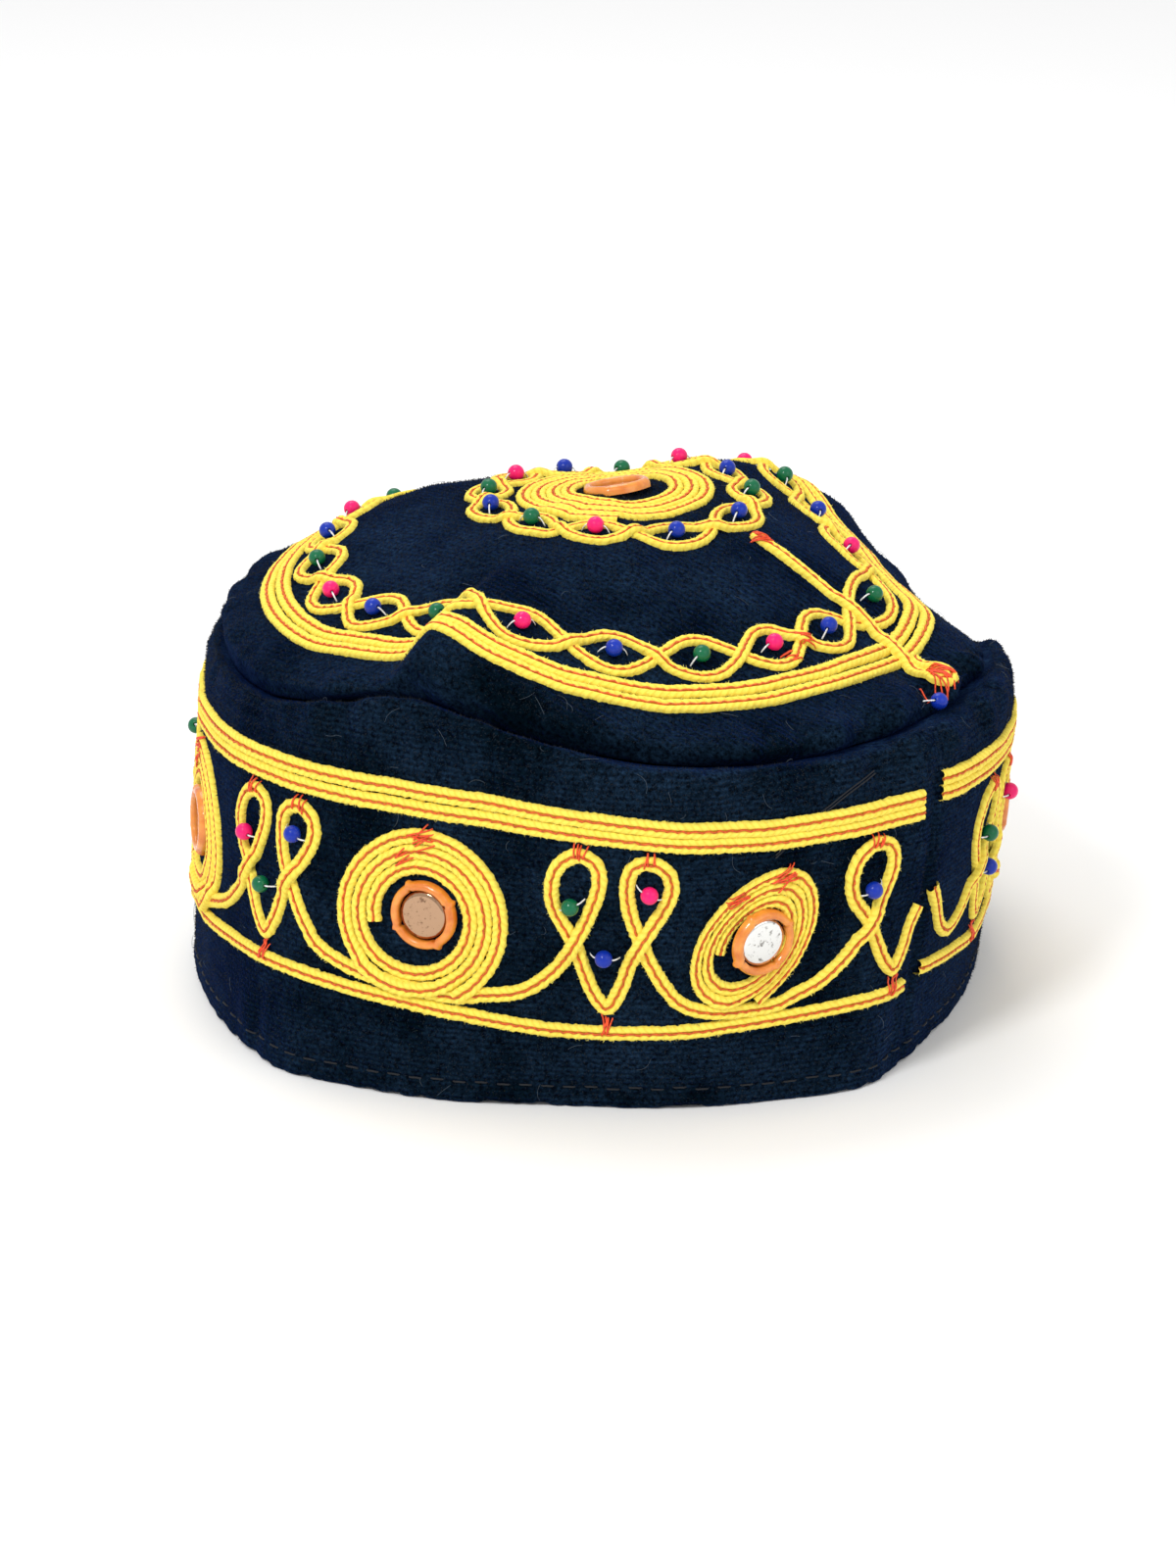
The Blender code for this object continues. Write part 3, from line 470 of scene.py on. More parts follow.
def lay(chart, path, ground, width, closed=False, drape=3):
    """Where a cord runs: (places on the ground, side vectors, outward vectors, length so far)."""
    places = chart(path[:, :2])
    ups = outward(chart, path[:, :2])
    if closed:
        ahead = np.roll(places, -1, axis=0) - np.roll(places, 1, axis=0)
    else:
        ahead = np.gradient(places, axis=0)
    sides = unit(np.cross(ups, ahead))
    rises = np.max([ground.rise(places + sides * width * share, ups) for share in FOOTING], axis=0)
    if drape:
        highest = np.max([np.roll(rises, shift) for shift in (-1, 0, 1)], axis=0)
        if not closed:
            highest[[0, -1]] = rises[[0, -1]]
        rises = blurred(highest, drape, closed)
    places = places + ups * rises[:, None]
    return places, sides, ups, length_along(places)


# Across and height of the braid's own section: two soft ridges and a valley where it is stitched
BRAID = (
    (-0.50, 0.00), (-0.50, 0.42), (-0.43, 0.78), (-0.30, 1.00), (-0.16, 0.93), (-0.05, 0.58),
    (0.05, 0.58), (0.16, 0.93), (0.30, 1.00), (0.43, 0.78), (0.50, 0.42), (0.50, 0.00),
)
STITCH_RADIUS = 0.00026
STITCH_LENGTH = 0.0027
FUZZ_PER_METRE = 2600
FIBRE_HALF = 0.00007
EDGE_JAG = 0.00011
BRAID_SINK = 0.0004
UV_PER_METRE = 100.0

stitch_parts = []
fuzz_parts = []


def wave_of(run, length, seed):
    """An uneven wave along a run, for crimps and wobbles."""
    noise = lumps(np.column_stack([run, np.full(len(run), seed * 0.37)]), length * 2.2, seed + 3)
    return np.sin(2 * math.pi * run / length + 2.5 * noise + seed)


cord_count = 0


def braid(chart, path, ground, width, closed=False, lift=None, widths=None, drape=3):
    """A flat braid laid along a path, with its stitch line and fuzz. Returns (points, faces, uv)."""
    global cord_count
    cord_count += 1
    places, sides, ups, run = lay(chart, path, ground, width, closed, drape)
    if lift is not None:
        places = places + ups * lift[:, None]
    wide = width * (np.ones(len(run)) if widths is None else widths)
    thick = CORD_THICK * (1.0 + 0.10 * lumps(np.column_stack([run, run * 0]), 0.004, cord_count))
    crimp = 0.5 * wave_of(run, 0.0019, cord_count)
    points = []
    uv = []
    for across, high in BRAID:
        edge = abs(across) > 0.40
        jag = RANDOM.normal(0.0, EDGE_JAG, len(run)) if edge else 0.0
        shift = across * wide + np.sign(across) * (jag + (0.00007 * crimp if edge else 0.0))
        height = high * thick + (0.00005 * crimp * (abs(across) > 0.1) if high else -BRAID_SINK)
        height = np.broadcast_to(height, run.shape)
        points.append(places + sides * shift[:, None] + ups * height[:, None])
        uv.append(np.column_stack([run * UV_PER_METRE, np.full(len(run), across + 0.5)]))
    points = np.stack(points, 1).reshape(-1, 3)
    uv = np.stack(uv, 1).reshape(-1, 2)
    faces = grid_faces(len(run), len(BRAID), closed_rows=closed)
    # the thread that couches the braid, dipping in and out of its middle
    wobble = 0.00022 * wave_of(run, STITCH_LENGTH, cord_count + 11)
    bob = 0.60 * thick + 0.00022 + 0.00016 * wave_of(run, STITCH_LENGTH / 2, cord_count + 5)
    middle = places + sides * wobble[:, None] + ups * bob[:, None]
    stitch_parts.append(tube(middle, sides, ups, STITCH_RADIUS, 4, closed))
    # loose fibres along both edges
    count = int(run[-1] * FUZZ_PER_METRE)
    at = RANDOM.integers(0, len(run) - 1, count)
    sign = RANDOM.choice([-1.0, 1.0], count)
    rise = RANDOM.uniform(0.15, 0.95, count)
    root = places[at] + sides[at] * (sign * (0.5 - 0.10 * rise) * wide[at])[:, None]
    root = root + ups[at] * (rise * thick[at])[:, None]
    ahead = unit(np.cross(sides[at], ups[at]))
    reach = RANDOM.uniform(0.0002, 0.0006, count)
    lean = RANDOM.normal(0.0, 0.6, count)
    up = RANDOM.uniform(-0.2, 0.7, count)
    way = sides[at] * sign[:, None] + ahead * lean[:, None] + ups[at] * up[:, None]
    tip = root + way * reach[:, None]
    base = ahead * FIBRE_HALF
    fuzz_parts.append(np.stack([root - base, root + base, tip], 1).reshape(-1, 3))
    return points, faces, uv


def tube(middle, sides, ups, radius, count, closed=False):
    points = []
    for index in range(count):
        turn = 2 * math.pi * (index + 0.5) / count
        radii = np.broadcast_to(radius, (len(middle),))[:, None]
        points.append(middle + (sides * math.cos(turn) + ups * math.sin(turn)) * radii)
    points = np.stack(points, 1).reshape(-1, 3)
    return points, grid_faces(len(middle), count, closed_rows=closed, closed_cols=True)


def joined(parts):
    """One mesh from several (points, faces, ...) parts; a third entry is joined too."""
    points = []
    faces = []
    extra = []
    first = 0
    for part in parts:
        points.append(part[0])
        faces.append(np.asarray(part[1]) + first)
        if len(part) > 2:
            extra.append(part[2])
        first += len(part[0])
    return np.vstack(points), np.vstack(faces), np.vstack(extra) if extra else None


def add_joined(name, parts, material, slot, replaced=()):
    points, faces, uv = joined(parts)
    add_mesh(name, points, faces, material, slot, replaced, uv)
    return points, faces


def add_triangles(name, parts, material, slot):
    points = np.vstack(parts)
    add_mesh(name, points, np.arange(len(points)).reshape(-1, 3), material, slot, smooth=False)


# Materials
def settle(shader, settings):
    for key, value in settings.items():
        shader.inputs[key].default_value = value


def new_material(name):
    """(material, node tree, shader, outputs of its texture coordinates)"""
    material = bpy.data.materials.new(name)
    material.use_nodes = True
    tree = material.node_tree
    coords = tree.nodes.new("ShaderNodeTexCoord").outputs
    return material, tree, tree.nodes["Principled BSDF"], coords


def add_node(tree, kind, inputs, **settings):
    node = tree.nodes.new(kind)
    for key, value in settings.items():
        setattr(node, key, value)
    for key, value in inputs.items():
        if isinstance(value, bpy.types.NodeSocket):
            tree.links.new(value, node.inputs[key])
        else:
            node.inputs[key].default_value = value
    return node


def calculated(tree, operation, first, second=0.0):
    inputs = {0: first, 1: second}
    return add_node(tree, "ShaderNodeMath", inputs, operation=operation).outputs[0]


def ramp(tree, factor, stops):
    node = tree.nodes.new("ShaderNodeValToRGB")
    tree.links.new(factor, node.inputs["Fac"])
    while len(node.color_ramp.elements) < len(stops):
        node.color_ramp.elements.new(0.5)
    for element, (at, colour) in zip(node.color_ramp.elements, stops):
        element.position = at
        element.color = (*colour, 1.0)
    return node.outputs["Color"]


def grey_ramp(tree, factor, *stops):
    return ramp(tree, factor, [(at, (value,) * 3) for at, value in stops])


def noise_at(tree, vector, scale, detail=3.0, roughness=0.5):
    inputs = {"Vector": vector, "Scale": scale, "Detail": detail, "Roughness": roughness}
    return add_node(tree, "ShaderNodeTexNoise", inputs).outputs["Fac"]


def mixed(tree, factor, first, second, blend="MIX"):
    node = tree.nodes.new("ShaderNodeMix")
    node.data_type = "RGBA"
    node.blend_type = blend
    for key, value in ((0, factor), (6, first), (7, second)):
        if isinstance(value, bpy.types.NodeSocket):
            tree.links.new(value, node.inputs[key])
        elif key == 0:
            node.inputs[0].default_value = value
        else:
            node.inputs[key].default_value = (*value, 1.0)
    return node.outputs[2]


def bump(tree, height, strength, distance, below=None):
    inputs = {"Height": height, "Strength": strength, "Distance": distance}
    if below is not None:
        inputs["Normal"] = below
    return add_node(tree, "ShaderNodeBump", inputs).outputs["Normal"]


NAVY_DEEP = (0.0005, 0.0025, 0.0043)
NAVY_LIGHT = (0.0046, 0.0116, 0.0225)


def velvet_material(name, rows_run, rows_depth):
    material, tree, shader, coords = new_material(name)
    where = coords["Object"]
    patches = noise_at(tree, where, 34.0, 4.0, 0.65)
    pile = noise_at(tree, where, 1050.0, 3.0, 0.75)
    base = ramp(tree, patches, ((0.36, NAVY_DEEP), (0.66, NAVY_LIGHT)))
    grain = ramp(tree, pile, ((0.36, (0.22, 0.22, 0.22)), (0.66, (2.5, 2.5, 2.6))))
    rows = add_node(
        tree, "ShaderNodeTexWave",
        {"Vector": where, "Scale": 250.0, "Distortion": 2.5, "Detail": 2.0, "Detail Scale": 3.0},
        bands_direction=rows_run,
    ).outputs["Fac"]
    ribs = grey_ramp(tree, rows, (0.1, 1 - rows_depth), (0.9, 1 + rows_depth))
    tone = mixed(tree, 1.0, mixed(tree, 1.0, base, grain, "MULTIPLY"), ribs, "MULTIPLY")
    tree.links.new(tone, shader.inputs["Base Color"])
    normal = bump(tree, rows, 0.35, 0.0005)
    normal = bump(tree, pile, 0.85, 0.0008, normal)
    tree.links.new(normal, shader.inputs["Normal"])
    settle(shader, {
        "Roughness": 0.95, "Specular IOR Level": 0.01, "Sheen Weight": 0.12,
        "Sheen Roughness": 0.38, "Sheen Tint": (0.04, 0.13, 0.75, 1.0),
    })
    return material


def cord_material(name, light, deep):
    """Braid with a plaited slant, seen along its UVs, and painted shade darkening the valley in its middle.
    """
    material, tree, shader, coords = new_material(name)
    parts = add_node(tree, "ShaderNodeSeparateXYZ", {"Vector": coords["UV"]}).outputs
    away = calculated(tree, "ABSOLUTE", calculated(tree, "SUBTRACT", parts["Y"], 0.5))
    along = calculated(tree, "ADD", parts["X"], calculated(tree, "MULTIPLY", away, 0.30))
    vector = add_node(tree, "ShaderNodeCombineXYZ", {"X": along}).outputs[0]
    plait = add_node(
        tree, "ShaderNodeTexWave",
        {"Vector": vector, "Scale": 1.9, "Distortion": 0.8, "Detail": 1.0}, bands_direction="X",
    ).outputs["Fac"]
    fibre = noise_at(tree, coords["Object"], 1500.0, 3.0, 0.7)
    patch = noise_at(tree, coords["Object"], 320.0, 2.0, 0.6)
    tone = mixed(tree, patch, light, tuple(0.62 * a + 0.38 * b for a, b in zip(light, deep)))
    tone = mixed(tree, grey_ramp(tree, plait, (0.0, 0.34), (0.5, 0.0)), tone, deep)
    # painted shade: the recessed valley down the braid's middle is darkened towards the deep tone
    tone = mixed(tree, grey_ramp(tree, away, (0.03, 0.75), (0.12, 0.0)), tone, deep)
    tree.links.new(tone, shader.inputs["Base Color"])
    normal = bump(tree, plait, 0.30, 0.00025)
    normal = bump(tree, fibre, 0.80, 0.00025, normal)
    tree.links.new(normal, shader.inputs["Normal"])
    settle(shader, {
        "Roughness": 0.78, "Specular IOR Level": 0.15, "Sheen Weight": 0.10,
        "Sheen Tint": (1.0, 0.85, 0.35, 1.0),
    })
    return material


def thread_material(name, colour, roughness=0.55):
    material, tree, shader, coords = new_material(name)
    grain = grey_ramp(tree, noise_at(tree, coords["Object"], 1500.0), (0.30, 0.62), (0.70, 1.2))
    tree.links.new(mixed(tree, 1.0, colour, grain, "MULTIPLY"), shader.inputs["Base Color"])
    settle(shader, {"Roughness": roughness})
    return material


def bead_material(name, colour):
    material, tree, shader, coords = new_material(name)
    cloud = noise_at(tree, coords["Object"], 420.0, 2.0)
    lighter = tuple(min(1.0, value * 1.35 + 0.004) for value in colour)
    tree.links.new(mixed(tree, cloud, colour, lighter), shader.inputs["Base Color"])
    settle(shader, {
        "Roughness": 0.32, "Specular IOR Level": 0.12, "Coat Weight": 0.35, "Coat Roughness": 0.04,
    })
    return material


def mirror_material(name, worn_tone, clean_and_reflected_tone):
    material, tree, shader, coords = new_material(name)
    worn = noise_at(tree, coords["Object"], 700.0, 4.0, 0.7)
    # on the tan mirrors the second tone is a painted reflection of warm surroundings, not the glass's own
    # colour
    tone = ramp(tree, worn, ((0.34, worn_tone), (0.44, clean_and_reflected_tone)))
    tree.links.new(tone, shader.inputs["Base Color"])
    uneven = noise_at(tree, coords["Object"], 160.0)
    tree.links.new(bump(tree, uneven, 0.05, 0.0004), shader.inputs["Normal"])
    settle(shader, {"Metallic": 1.0, "Roughness": 0.08})
    return material


def ring_material():
    material, tree, shader, coords = new_material("orange_plastic")
    cloud = noise_at(tree, coords["Object"], 260.0, 3.0)
    tone = ramp(tree, cloud, ((0.3, (0.62, 0.15, 0.012)), (0.7, (0.86, 0.33, 0.045))))
    tree.links.new(tone, shader.inputs["Base Color"])
    settle(shader, {
        "Roughness": 0.25, "Coat Weight": 0.4, "Subsurface Weight": 0.15, "Subsurface Scale": 0.002,
    })
    return material


BAND_VELVET = velvet_material("band_velvet", "Z", 0.24)
CROWN_VELVET = velvet_material("crown_velvet", "DIAGONAL", 0.10)
YELLOW = cord_material("yellow_braid", (0.98, 0.83, 0.125), (0.74, 0.42, 0.012))
STITCH = thread_material("stitch_thread", (0.70, 0.110, 0.006))
RED = thread_material("red_thread", (0.85, 0.075, 0.012))
WHITE = thread_material("clear_thread", (0.80, 0.80, 0.82), 0.25)
FUZZ = thread_material("yellow_fibre", (0.98, 0.86, 0.20), 0.8)
PILE = thread_material("velvet_pile", (0.0016, 0.0060, 0.0125), 0.9)
LINT = thread_material("lint", (0.055, 0.075, 0.100), 0.8)
NAVY_THREAD = thread_material("navy_thread", (0.0020, 0.0035, 0.0075), 0.7)
GLASS = mirror_material("mirror_glass", (0.20, 0.19, 0.17), (0.80, 0.80, 0.78))
# the tan tone of these mirror discs is a painted reflection of warm surroundings; the darker speckles are
# wear
TAN_REFLECTION_GLASS = mirror_material("painted_tan_reflection_glass", (0.18, 0.10, 0.06), (0.46, 0.285, 0.175))
PLASTIC = ring_material()
BEAD_COLOURS = {
    "p": ("pink", (0.70, 0.006, 0.13)), "b": ("blue", (0.002, 0.022, 0.30)),
    "g": ("green", (0.0015, 0.105, 0.042)),
}


# Velvet
COLUMNS = 600
SLOPE_REACH = 0.004
HEM_RAGGED = 0.0007
# Folds drawn on the cloth: start and end in chart metres, half width, height (below 0 a groove)
BAND_FOLDS = (
    (-54.0, 0.000, -52.0, 0.017, 0.0022, -0.0010), (-57.0, 0.000, -56.0, 0.015, 0.0030, 0.0006),
    (42.0, 0.000, 44.0, 0.030, 0.0028, -0.0010), (47.0, 0.000, 46.0, 0.020, 0.0030, 0.0006),
    (-74.0, 0.078, -52.0, 0.079, 0.0010, -0.0007), (-72.0, 0.0745, -50.0, 0.0755, 0.0009, -0.0006),
    (30.0, 0.079, 50.0, 0.081, 0.0014, -0.0009), (36.0, 0.083, 52.0, 0.084, 0.0012, -0.0008),
    (45.8, 0.0, 45.8, 0.078, 0.0011, -0.0012), (48.5, 0.0, 48.0, 0.060, 0.0020, 0.0005),
    (40.0, 0.068, 36.0, 0.079, 0.0013, -0.0007), (52.0, 0.070, 49.0, 0.080, 0.0013, -0.0008),
)
HEM_STITCH_HEIGHT = 0.0050
CROWN_FOLDS = (
    (31.0, 0.985, 39.0, 0.895, 0.0024, 0.0014), (37.0, 0.985, 43.0, 0.920, 0.0016, -0.0015),
    (42.5, 0.980, 51.0, 0.875, 0.0028, 0.0028), (50.0, 0.985, 55.0, 0.905, 0.0018, -0.0023),
    (56.5, 0.980, 62.0, 0.890, 0.0030, 0.0027), (64.0, 0.985, 66.0, 0.915, 0.0018, -0.0021),
    (71.0, 0.980, 69.0, 0.895, 0.0026, 0.0022), (83.0, 0.985, 78.0, 0.920, 0.0020, -0.0016),
)


# Layers of noise on the cloth: height, size of a lump, seed
FINE_WRINKLES = ((0.00016, 0.0045, 21), (0.00010, 0.0022, 22))
SOFT_WRINKLES = ((0.00055, 0.017, 23), (0.00030, 0.009, 24))
DRAWN_WRINKLES = ((0.00035, 0.0065, 25),)
BAND_GATHERS = ((0.00070, 0.0042, 31), (0.00095, 0.0090, 32))
CROWN_GATHERS = ((0.00070, 0.0045, 41), (0.00110, 0.0100, 42))
# Gathers run up the cloth: how much its height counts against its width
GATHER_STRETCH = 0.22
# Where the gathering is strongest past the seam, how far it reaches, and its shares
PULL_PAST_SEAM = 12.0
PULL_REACH = 32.0
PULL_LEAST = 0.65
PULL_MORE = 0.85
HEM_GROOVE = 0.00045
HEM_GROOVE_HALF = 0.0009


def layered(points, layers):
    return sum(height * lumps(points, size, seed) for height, size, seed in layers)


def folds(flat, table, scale):
    """Ridges and grooves along short lines on the cloth."""
    total = np.zeros(len(flat))
    for start_a, start_v, end_a, end_v, width, height in table:
        start = np.array(scale(start_a, start_v))
        run = np.array(scale(end_a, end_v)) - start
        share = np.clip(((flat - start) @ run) / (run @ run), 0.0, 1.0)
        away = np.linalg.norm(flat - start - share[:, None] * run, axis=1)
        fade = np.sin(math.pi * np.clip(0.12 + 0.76 * share, 0.0, 1.0))
        total += height * fade * np.exp(-((away / width) ** 2))
    return total


def cloth_grid(section_at, steps, sign):
    """Angles, steps, profile points and outward directions of a wall's outer face."""
    angles = np.repeat(np.linspace(-180.0, 180.0, COLUMNS, endpoint=False), len(steps))
    grid_steps = np.tile(steps, COLUMNS)
    outer = section_at(angles, grid_steps)
    ahead = section_at(angles, np.minimum(grid_steps + SLOPE_REACH, 1.0))
    run = ahead - section_at(angles, np.maximum(grid_steps - SLOPE_REACH, 0.0))
    run = run / np.maximum(np.linalg.norm(run, axis=1, keepdims=True), 1e-12)
    out = sign * np.stack([run[:, 1], -run[:, 0]], 1)
    return angles, grid_steps, outer, out


def wrinkles(points, flat, strength):
    """Soft unevenness of hand-sewn velvet, larger than its pile."""
    still = layered(points, FINE_WRINKLES) + layered(points, SOFT_WRINKLES)
    return strength * (still + layered(flat * (1.0, 0.25), DRAWN_WRINKLES))


def pull(angle):
    """How strongly the cloth is gathered: most where the band's own seam meets the crown."""
    away = np.abs((angle - SEAM_ANGLE - PULL_PAST_SEAM + 180.0) % 360.0 - 180.0)
    return PULL_LEAST + PULL_MORE * np.exp(-((away / PULL_REACH) ** 2))


def make_band():
    steps = np.concatenate([np.linspace(0.012, 0.78, 46), np.linspace(0.795, 0.995, 22)])
    angle, step, outer, out = cloth_grid(band_section, steps, 1.0)
    flat = np.column_stack([angle * BAND_SCALE, step / BORDER_STEP * BORDER_HEIGHT])
    base = place(angle, outer)
    soft = np.clip(step / 0.06, 0.0, 1.0)
    upper = np.clip((step - 0.82) / 0.06, 0.0, 1.0) * np.clip((1.0 - step) / 0.05, 0.0, 1.0)
    gather = layered(flat * (1.0, GATHER_STRETCH), BAND_GATHERS) * upper * pull(angle)
    push = wrinkles(base, flat, 0.35 + 0.65 * np.maximum(upper, 0.25)) * soft + gather
    push += folds(flat, BAND_FOLDS, on_band)
    push -= HEM_GROOVE * np.exp(-(((flat[:, 1] - HEM_STITCH_HEIGHT) / HEM_GROOVE_HALF) ** 2))
    push += 0.00040 * lumps(flat, 0.0016, 33) * np.exp(-flat[:, 1] / 0.0022)
    outer = outer + out * push[:, None]
    outer_rows = outer.reshape(COLUMNS, len(steps), 2)
    out_rows = out.reshape(COLUMNS, len(steps), 2)
    inner_rows = outer_rows[:, ::-4] - out_rows[:, ::-4] * CLOTH
    top = outer_rows[:, -1:] + (-FLANGE * 0.5, -CLOTH * 0.1)
    top_inner = outer_rows[:, -1:] + (-FLANGE, -CLOTH * 0.5)
    top_under = outer_rows[:, -1:] + (-FLANGE * 0.8, -CLOTH)
    hem = outer_rows[:, :1] * (1.0, 0.0)
    hem_in = hem + (-CLOTH * 0.95, 0.0006)
    edge = np.linspace(-180.0, 180.0, COLUMNS, endpoint=False) * BAND_SCALE
    ragged = HEM_RAGGED * np.clip(lumps(np.column_stack([edge, 0.0 * edge]), 0.0030, 34), 0.0, 1.0)
    lift = np.column_stack([0.0 * edge, ragged])[:, None]
    hem_low = hem + (-CLOTH * 0.55, 0.0) + lift
    hem_out = hem + (-CLOTH * 0.12, 0.0003) + lift
    rows = np.concatenate(
        [outer_rows, top, top_inner, top_under, inner_rows[:, 2:-1], hem_in, hem_low, hem_out], axis=1
    )
    return finish_cloth(rows)


def make_crown():
    steps = np.concatenate([np.linspace(0.004, 0.80, 50), np.linspace(0.815, 0.998, 20)])
    angle, step, outer, out = cloth_grid(crown_section, steps, -1.0)
    turn = np.radians(angle)
    flat = np.column_stack([step * CROWN_SCALE * np.sin(turn), -step * CROWN_SCALE * np.cos(turn)])
    base = place(angle, outer)
    rim = np.clip((step - 0.86) / 0.06, 0.0, 1.0) * np.clip((1.0 - step) / 0.03, 0.0, 1.0)
    drawn = np.column_stack([angle * BAND_SCALE, step * CROWN_SCALE * GATHER_STRETCH])
    gather = layered(drawn, CROWN_GATHERS) * rim * pull(angle)
    push = wrinkles(base, flat, 0.8) * np.clip((1.0 - step) / 0.02, 0.0, 1.0) + gather
    push += folds(flat, CROWN_FOLDS, on_crown)
    outer = outer + out * push[:, None]
    outer_rows = outer.reshape(COLUMNS, len(steps), 2)
    out_rows = out.reshape(COLUMNS, len(steps), 2)
    inner_rows = outer_rows[:, ::-5] - out_rows[:, ::-5] * CLOTH
    rim_in = outer_rows[:, -1:] + (-CLOTH * 0.9, 0.0)
    rows = np.concatenate([outer_rows, rim_in, inner_rows[:, 2:]], axis=1)
    return finish_cloth(rows)


def finish_cloth(rows):
    columns, count, _ = rows.shape
    angles = np.repeat(np.linspace(-180.0, 180.0, COLUMNS, endpoint=False), count)
    points = place(angles, rows.reshape(-1, 2))
    return points, grid_faces(columns, count, closed_rows=True, closed_cols=True)


band_shape = make_band()
crown_shape = make_crown()
add_mesh("velvet_band", *band_shape, BAND_VELVET, "velvet", ["side_band"])
add_mesh("velvet_crown", *crown_shape, CROWN_VELVET, "velvet", ["crown"])
BAND_GROUND = Ground(band_shape)
CROWN_GROUND = Ground(crown_shape)


# Band embroidery
FIELD_TOP = BORDER_HEIGHT - BORDER_WIDTH
VINE_TOP = FIELD_TOP - LOOP_HEADROOM
SEAM_HALF = 0.8
TAPE = (BORDER_WIDTH - 0.0003) / 2


def seam_rise(angle):
    past = (angle - SEAM_ANGLE) % 360.0 / SEAM_FADE
    return SEAM_STEP * max(1.0 - past, 0.0) ** 2


def cord_height(angle):
    return float(section(angle)["cord_h"][0]) + seam_rise(angle)


def round_the_band(height_at):
    angles = np.arange(SEAM_ANGLE + SEAM_HALF, SEAM_ANGLE + 360.0 - SEAM_HALF, 3.0)
    return [on_band(angle, height_at(angle)) for angle in angles]


def vine_angle(repeat, along):
    centre = LOOP_ANGLES[repeat]
    steady = math.copysign(min(abs(along), STEADY_SHARE), along)
    near = centre + steady * REPEAT_ANGLE
    beside = repeat if along > 0 else repeat - 1
    if abs(along) <= STEADY_SHARE or not 0 <= beside < len(ROUNDELS):
        return centre + along * REPEAT_ANGLE
    share = (abs(along) - STEADY_SHARE) / (0.5 - STEADY_SHARE)
    return near + (ROUNDELS[beside][0] - near) * share


def vine_spot(repeat, along, up):
    angle = vine_angle(repeat, along)
    low = cord_height(angle) + CORD_WIDTH + CORD_GAP
    return on_band(angle, low + up * (VINE_TOP - low))


def vine_rows():
    last = len(LOOP_ANGLES) - 1
    rows = [(0, *row) for row in VINE_BEGIN + VINE[FIRST_WHOLE_ROW:]]
    for repeat in range(1, last):
        rows += [(repeat, *row) for row in VINE]
    return rows + [(last, *row) for row in VINE[:LAST_CUT_ROW] + VINE_END]


def vine_route():
    """The vine's path, and how far it is lifted where it passes over itself."""
    rows = vine_rows()
    path = smooth_path([vine_spot(repeat, along, up) for repeat, along, up, _ in rows], SPACING)
    lift = np.zeros(len(path))
    run = np.arange(len(path)) * SPACING
    for repeat, along, up, over in rows:
        if over:
            spot = np.array(vine_spot(repeat, along, up))
            away = np.linalg.norm(path - spot, axis=1)
            first = int(np.argmin(away + 1e9 * (np.abs(np.arange(len(path)) - nearest_over(path, spot)) > 6)))
            gap = np.abs(run - run[first])
            lift = np.maximum(lift, CORD_THICK * np.clip((0.0050 - gap) / 0.0028, 0.0, 1.0))
    return path, blurred(lift, 2, False)


def nearest_over(path, spot):
    """The path passes the spot twice; the pass that rises to the right lies on top."""
    away = np.linalg.norm(path - spot, axis=1)
    near = np.where(away < 0.0012)[0]
    ahead = np.gradient(path, axis=0)
    rising = [index for index in near if ahead[index, 1] > 0]
    return rising[len(rising) // 2] if rising else int(np.argmin(away))


def coil_offsets(outer, turns, start):
    offsets = []
    for index in range(round(turns * 360.0 / COIL_STEP) + 1):
        wound = index * COIL_STEP
        offsets.append((start + wound, outer - CORD_WIDTH / 2 - COIL_PITCH * wound / 360.0))
    return offsets


def roundel_size():
    top = FIELD_TOP - ROUNDEL_HEADROOM
    bottom = CORD_LINE + CORD_WIDTH / 2 + ROUNDEL_FOOT
    lost_at_top = -COIL_PITCH * ROUNDEL_START / 360.0
    lost_at_bottom = lost_at_top + COIL_PITCH / 2
    outer = (top - bottom + lost_at_top + lost_at_bottom) / 2
    return outer, top - (outer - lost_at_top)


ROUNDEL_RADIUS, ROUNDEL_HEIGHT = roundel_size()


def near_roundel(centre, across, up):
    radius = band_section(centre, height_step(ROUNDEL_HEIGHT))[0, 0]
    return on_band(centre + math.degrees(across / radius), ROUNDEL_HEIGHT + up)


def roundel_path(index):
    centre, wide, tall, lean = ROUNDELS[index]
    stations = []
    for turn, radius in coil_offsets(ROUNDEL_RADIUS, ROUNDEL_TURNS, ROUNDEL_START):
        sine = math.sin(math.radians(turn))
        cosine = math.cos(math.radians(turn))
        up = radius * cosine * tall
        across = lean * up - radius * sine * wide
        squeeze = wide * tall / math.hypot(wide * cosine + lean * tall * sine, tall * sine)
        stations.append((*near_roundel(centre, across - COIL_SHIFT, up), squeeze))
    return smooth_path(stations, SPACING)


def two_tapes(name, chart, lines, ground, closed, replaced):
    paths = [smooth_path(line, SPACING, closed) for line in lines]
    parts = [braid(chart, path, ground, TAPE, closed) for path in paths]
    return add_joined(name, parts, YELLOW, "cord", replaced)


def one_cord(
    name, chart, path, ground, replaced, width=CORD_WIDTH, closed=False, lift=None, widths=None
):
    part = braid(chart, path, ground, width, closed, lift, widths)
    return add_joined(name, [part], YELLOW, "cord", replaced)


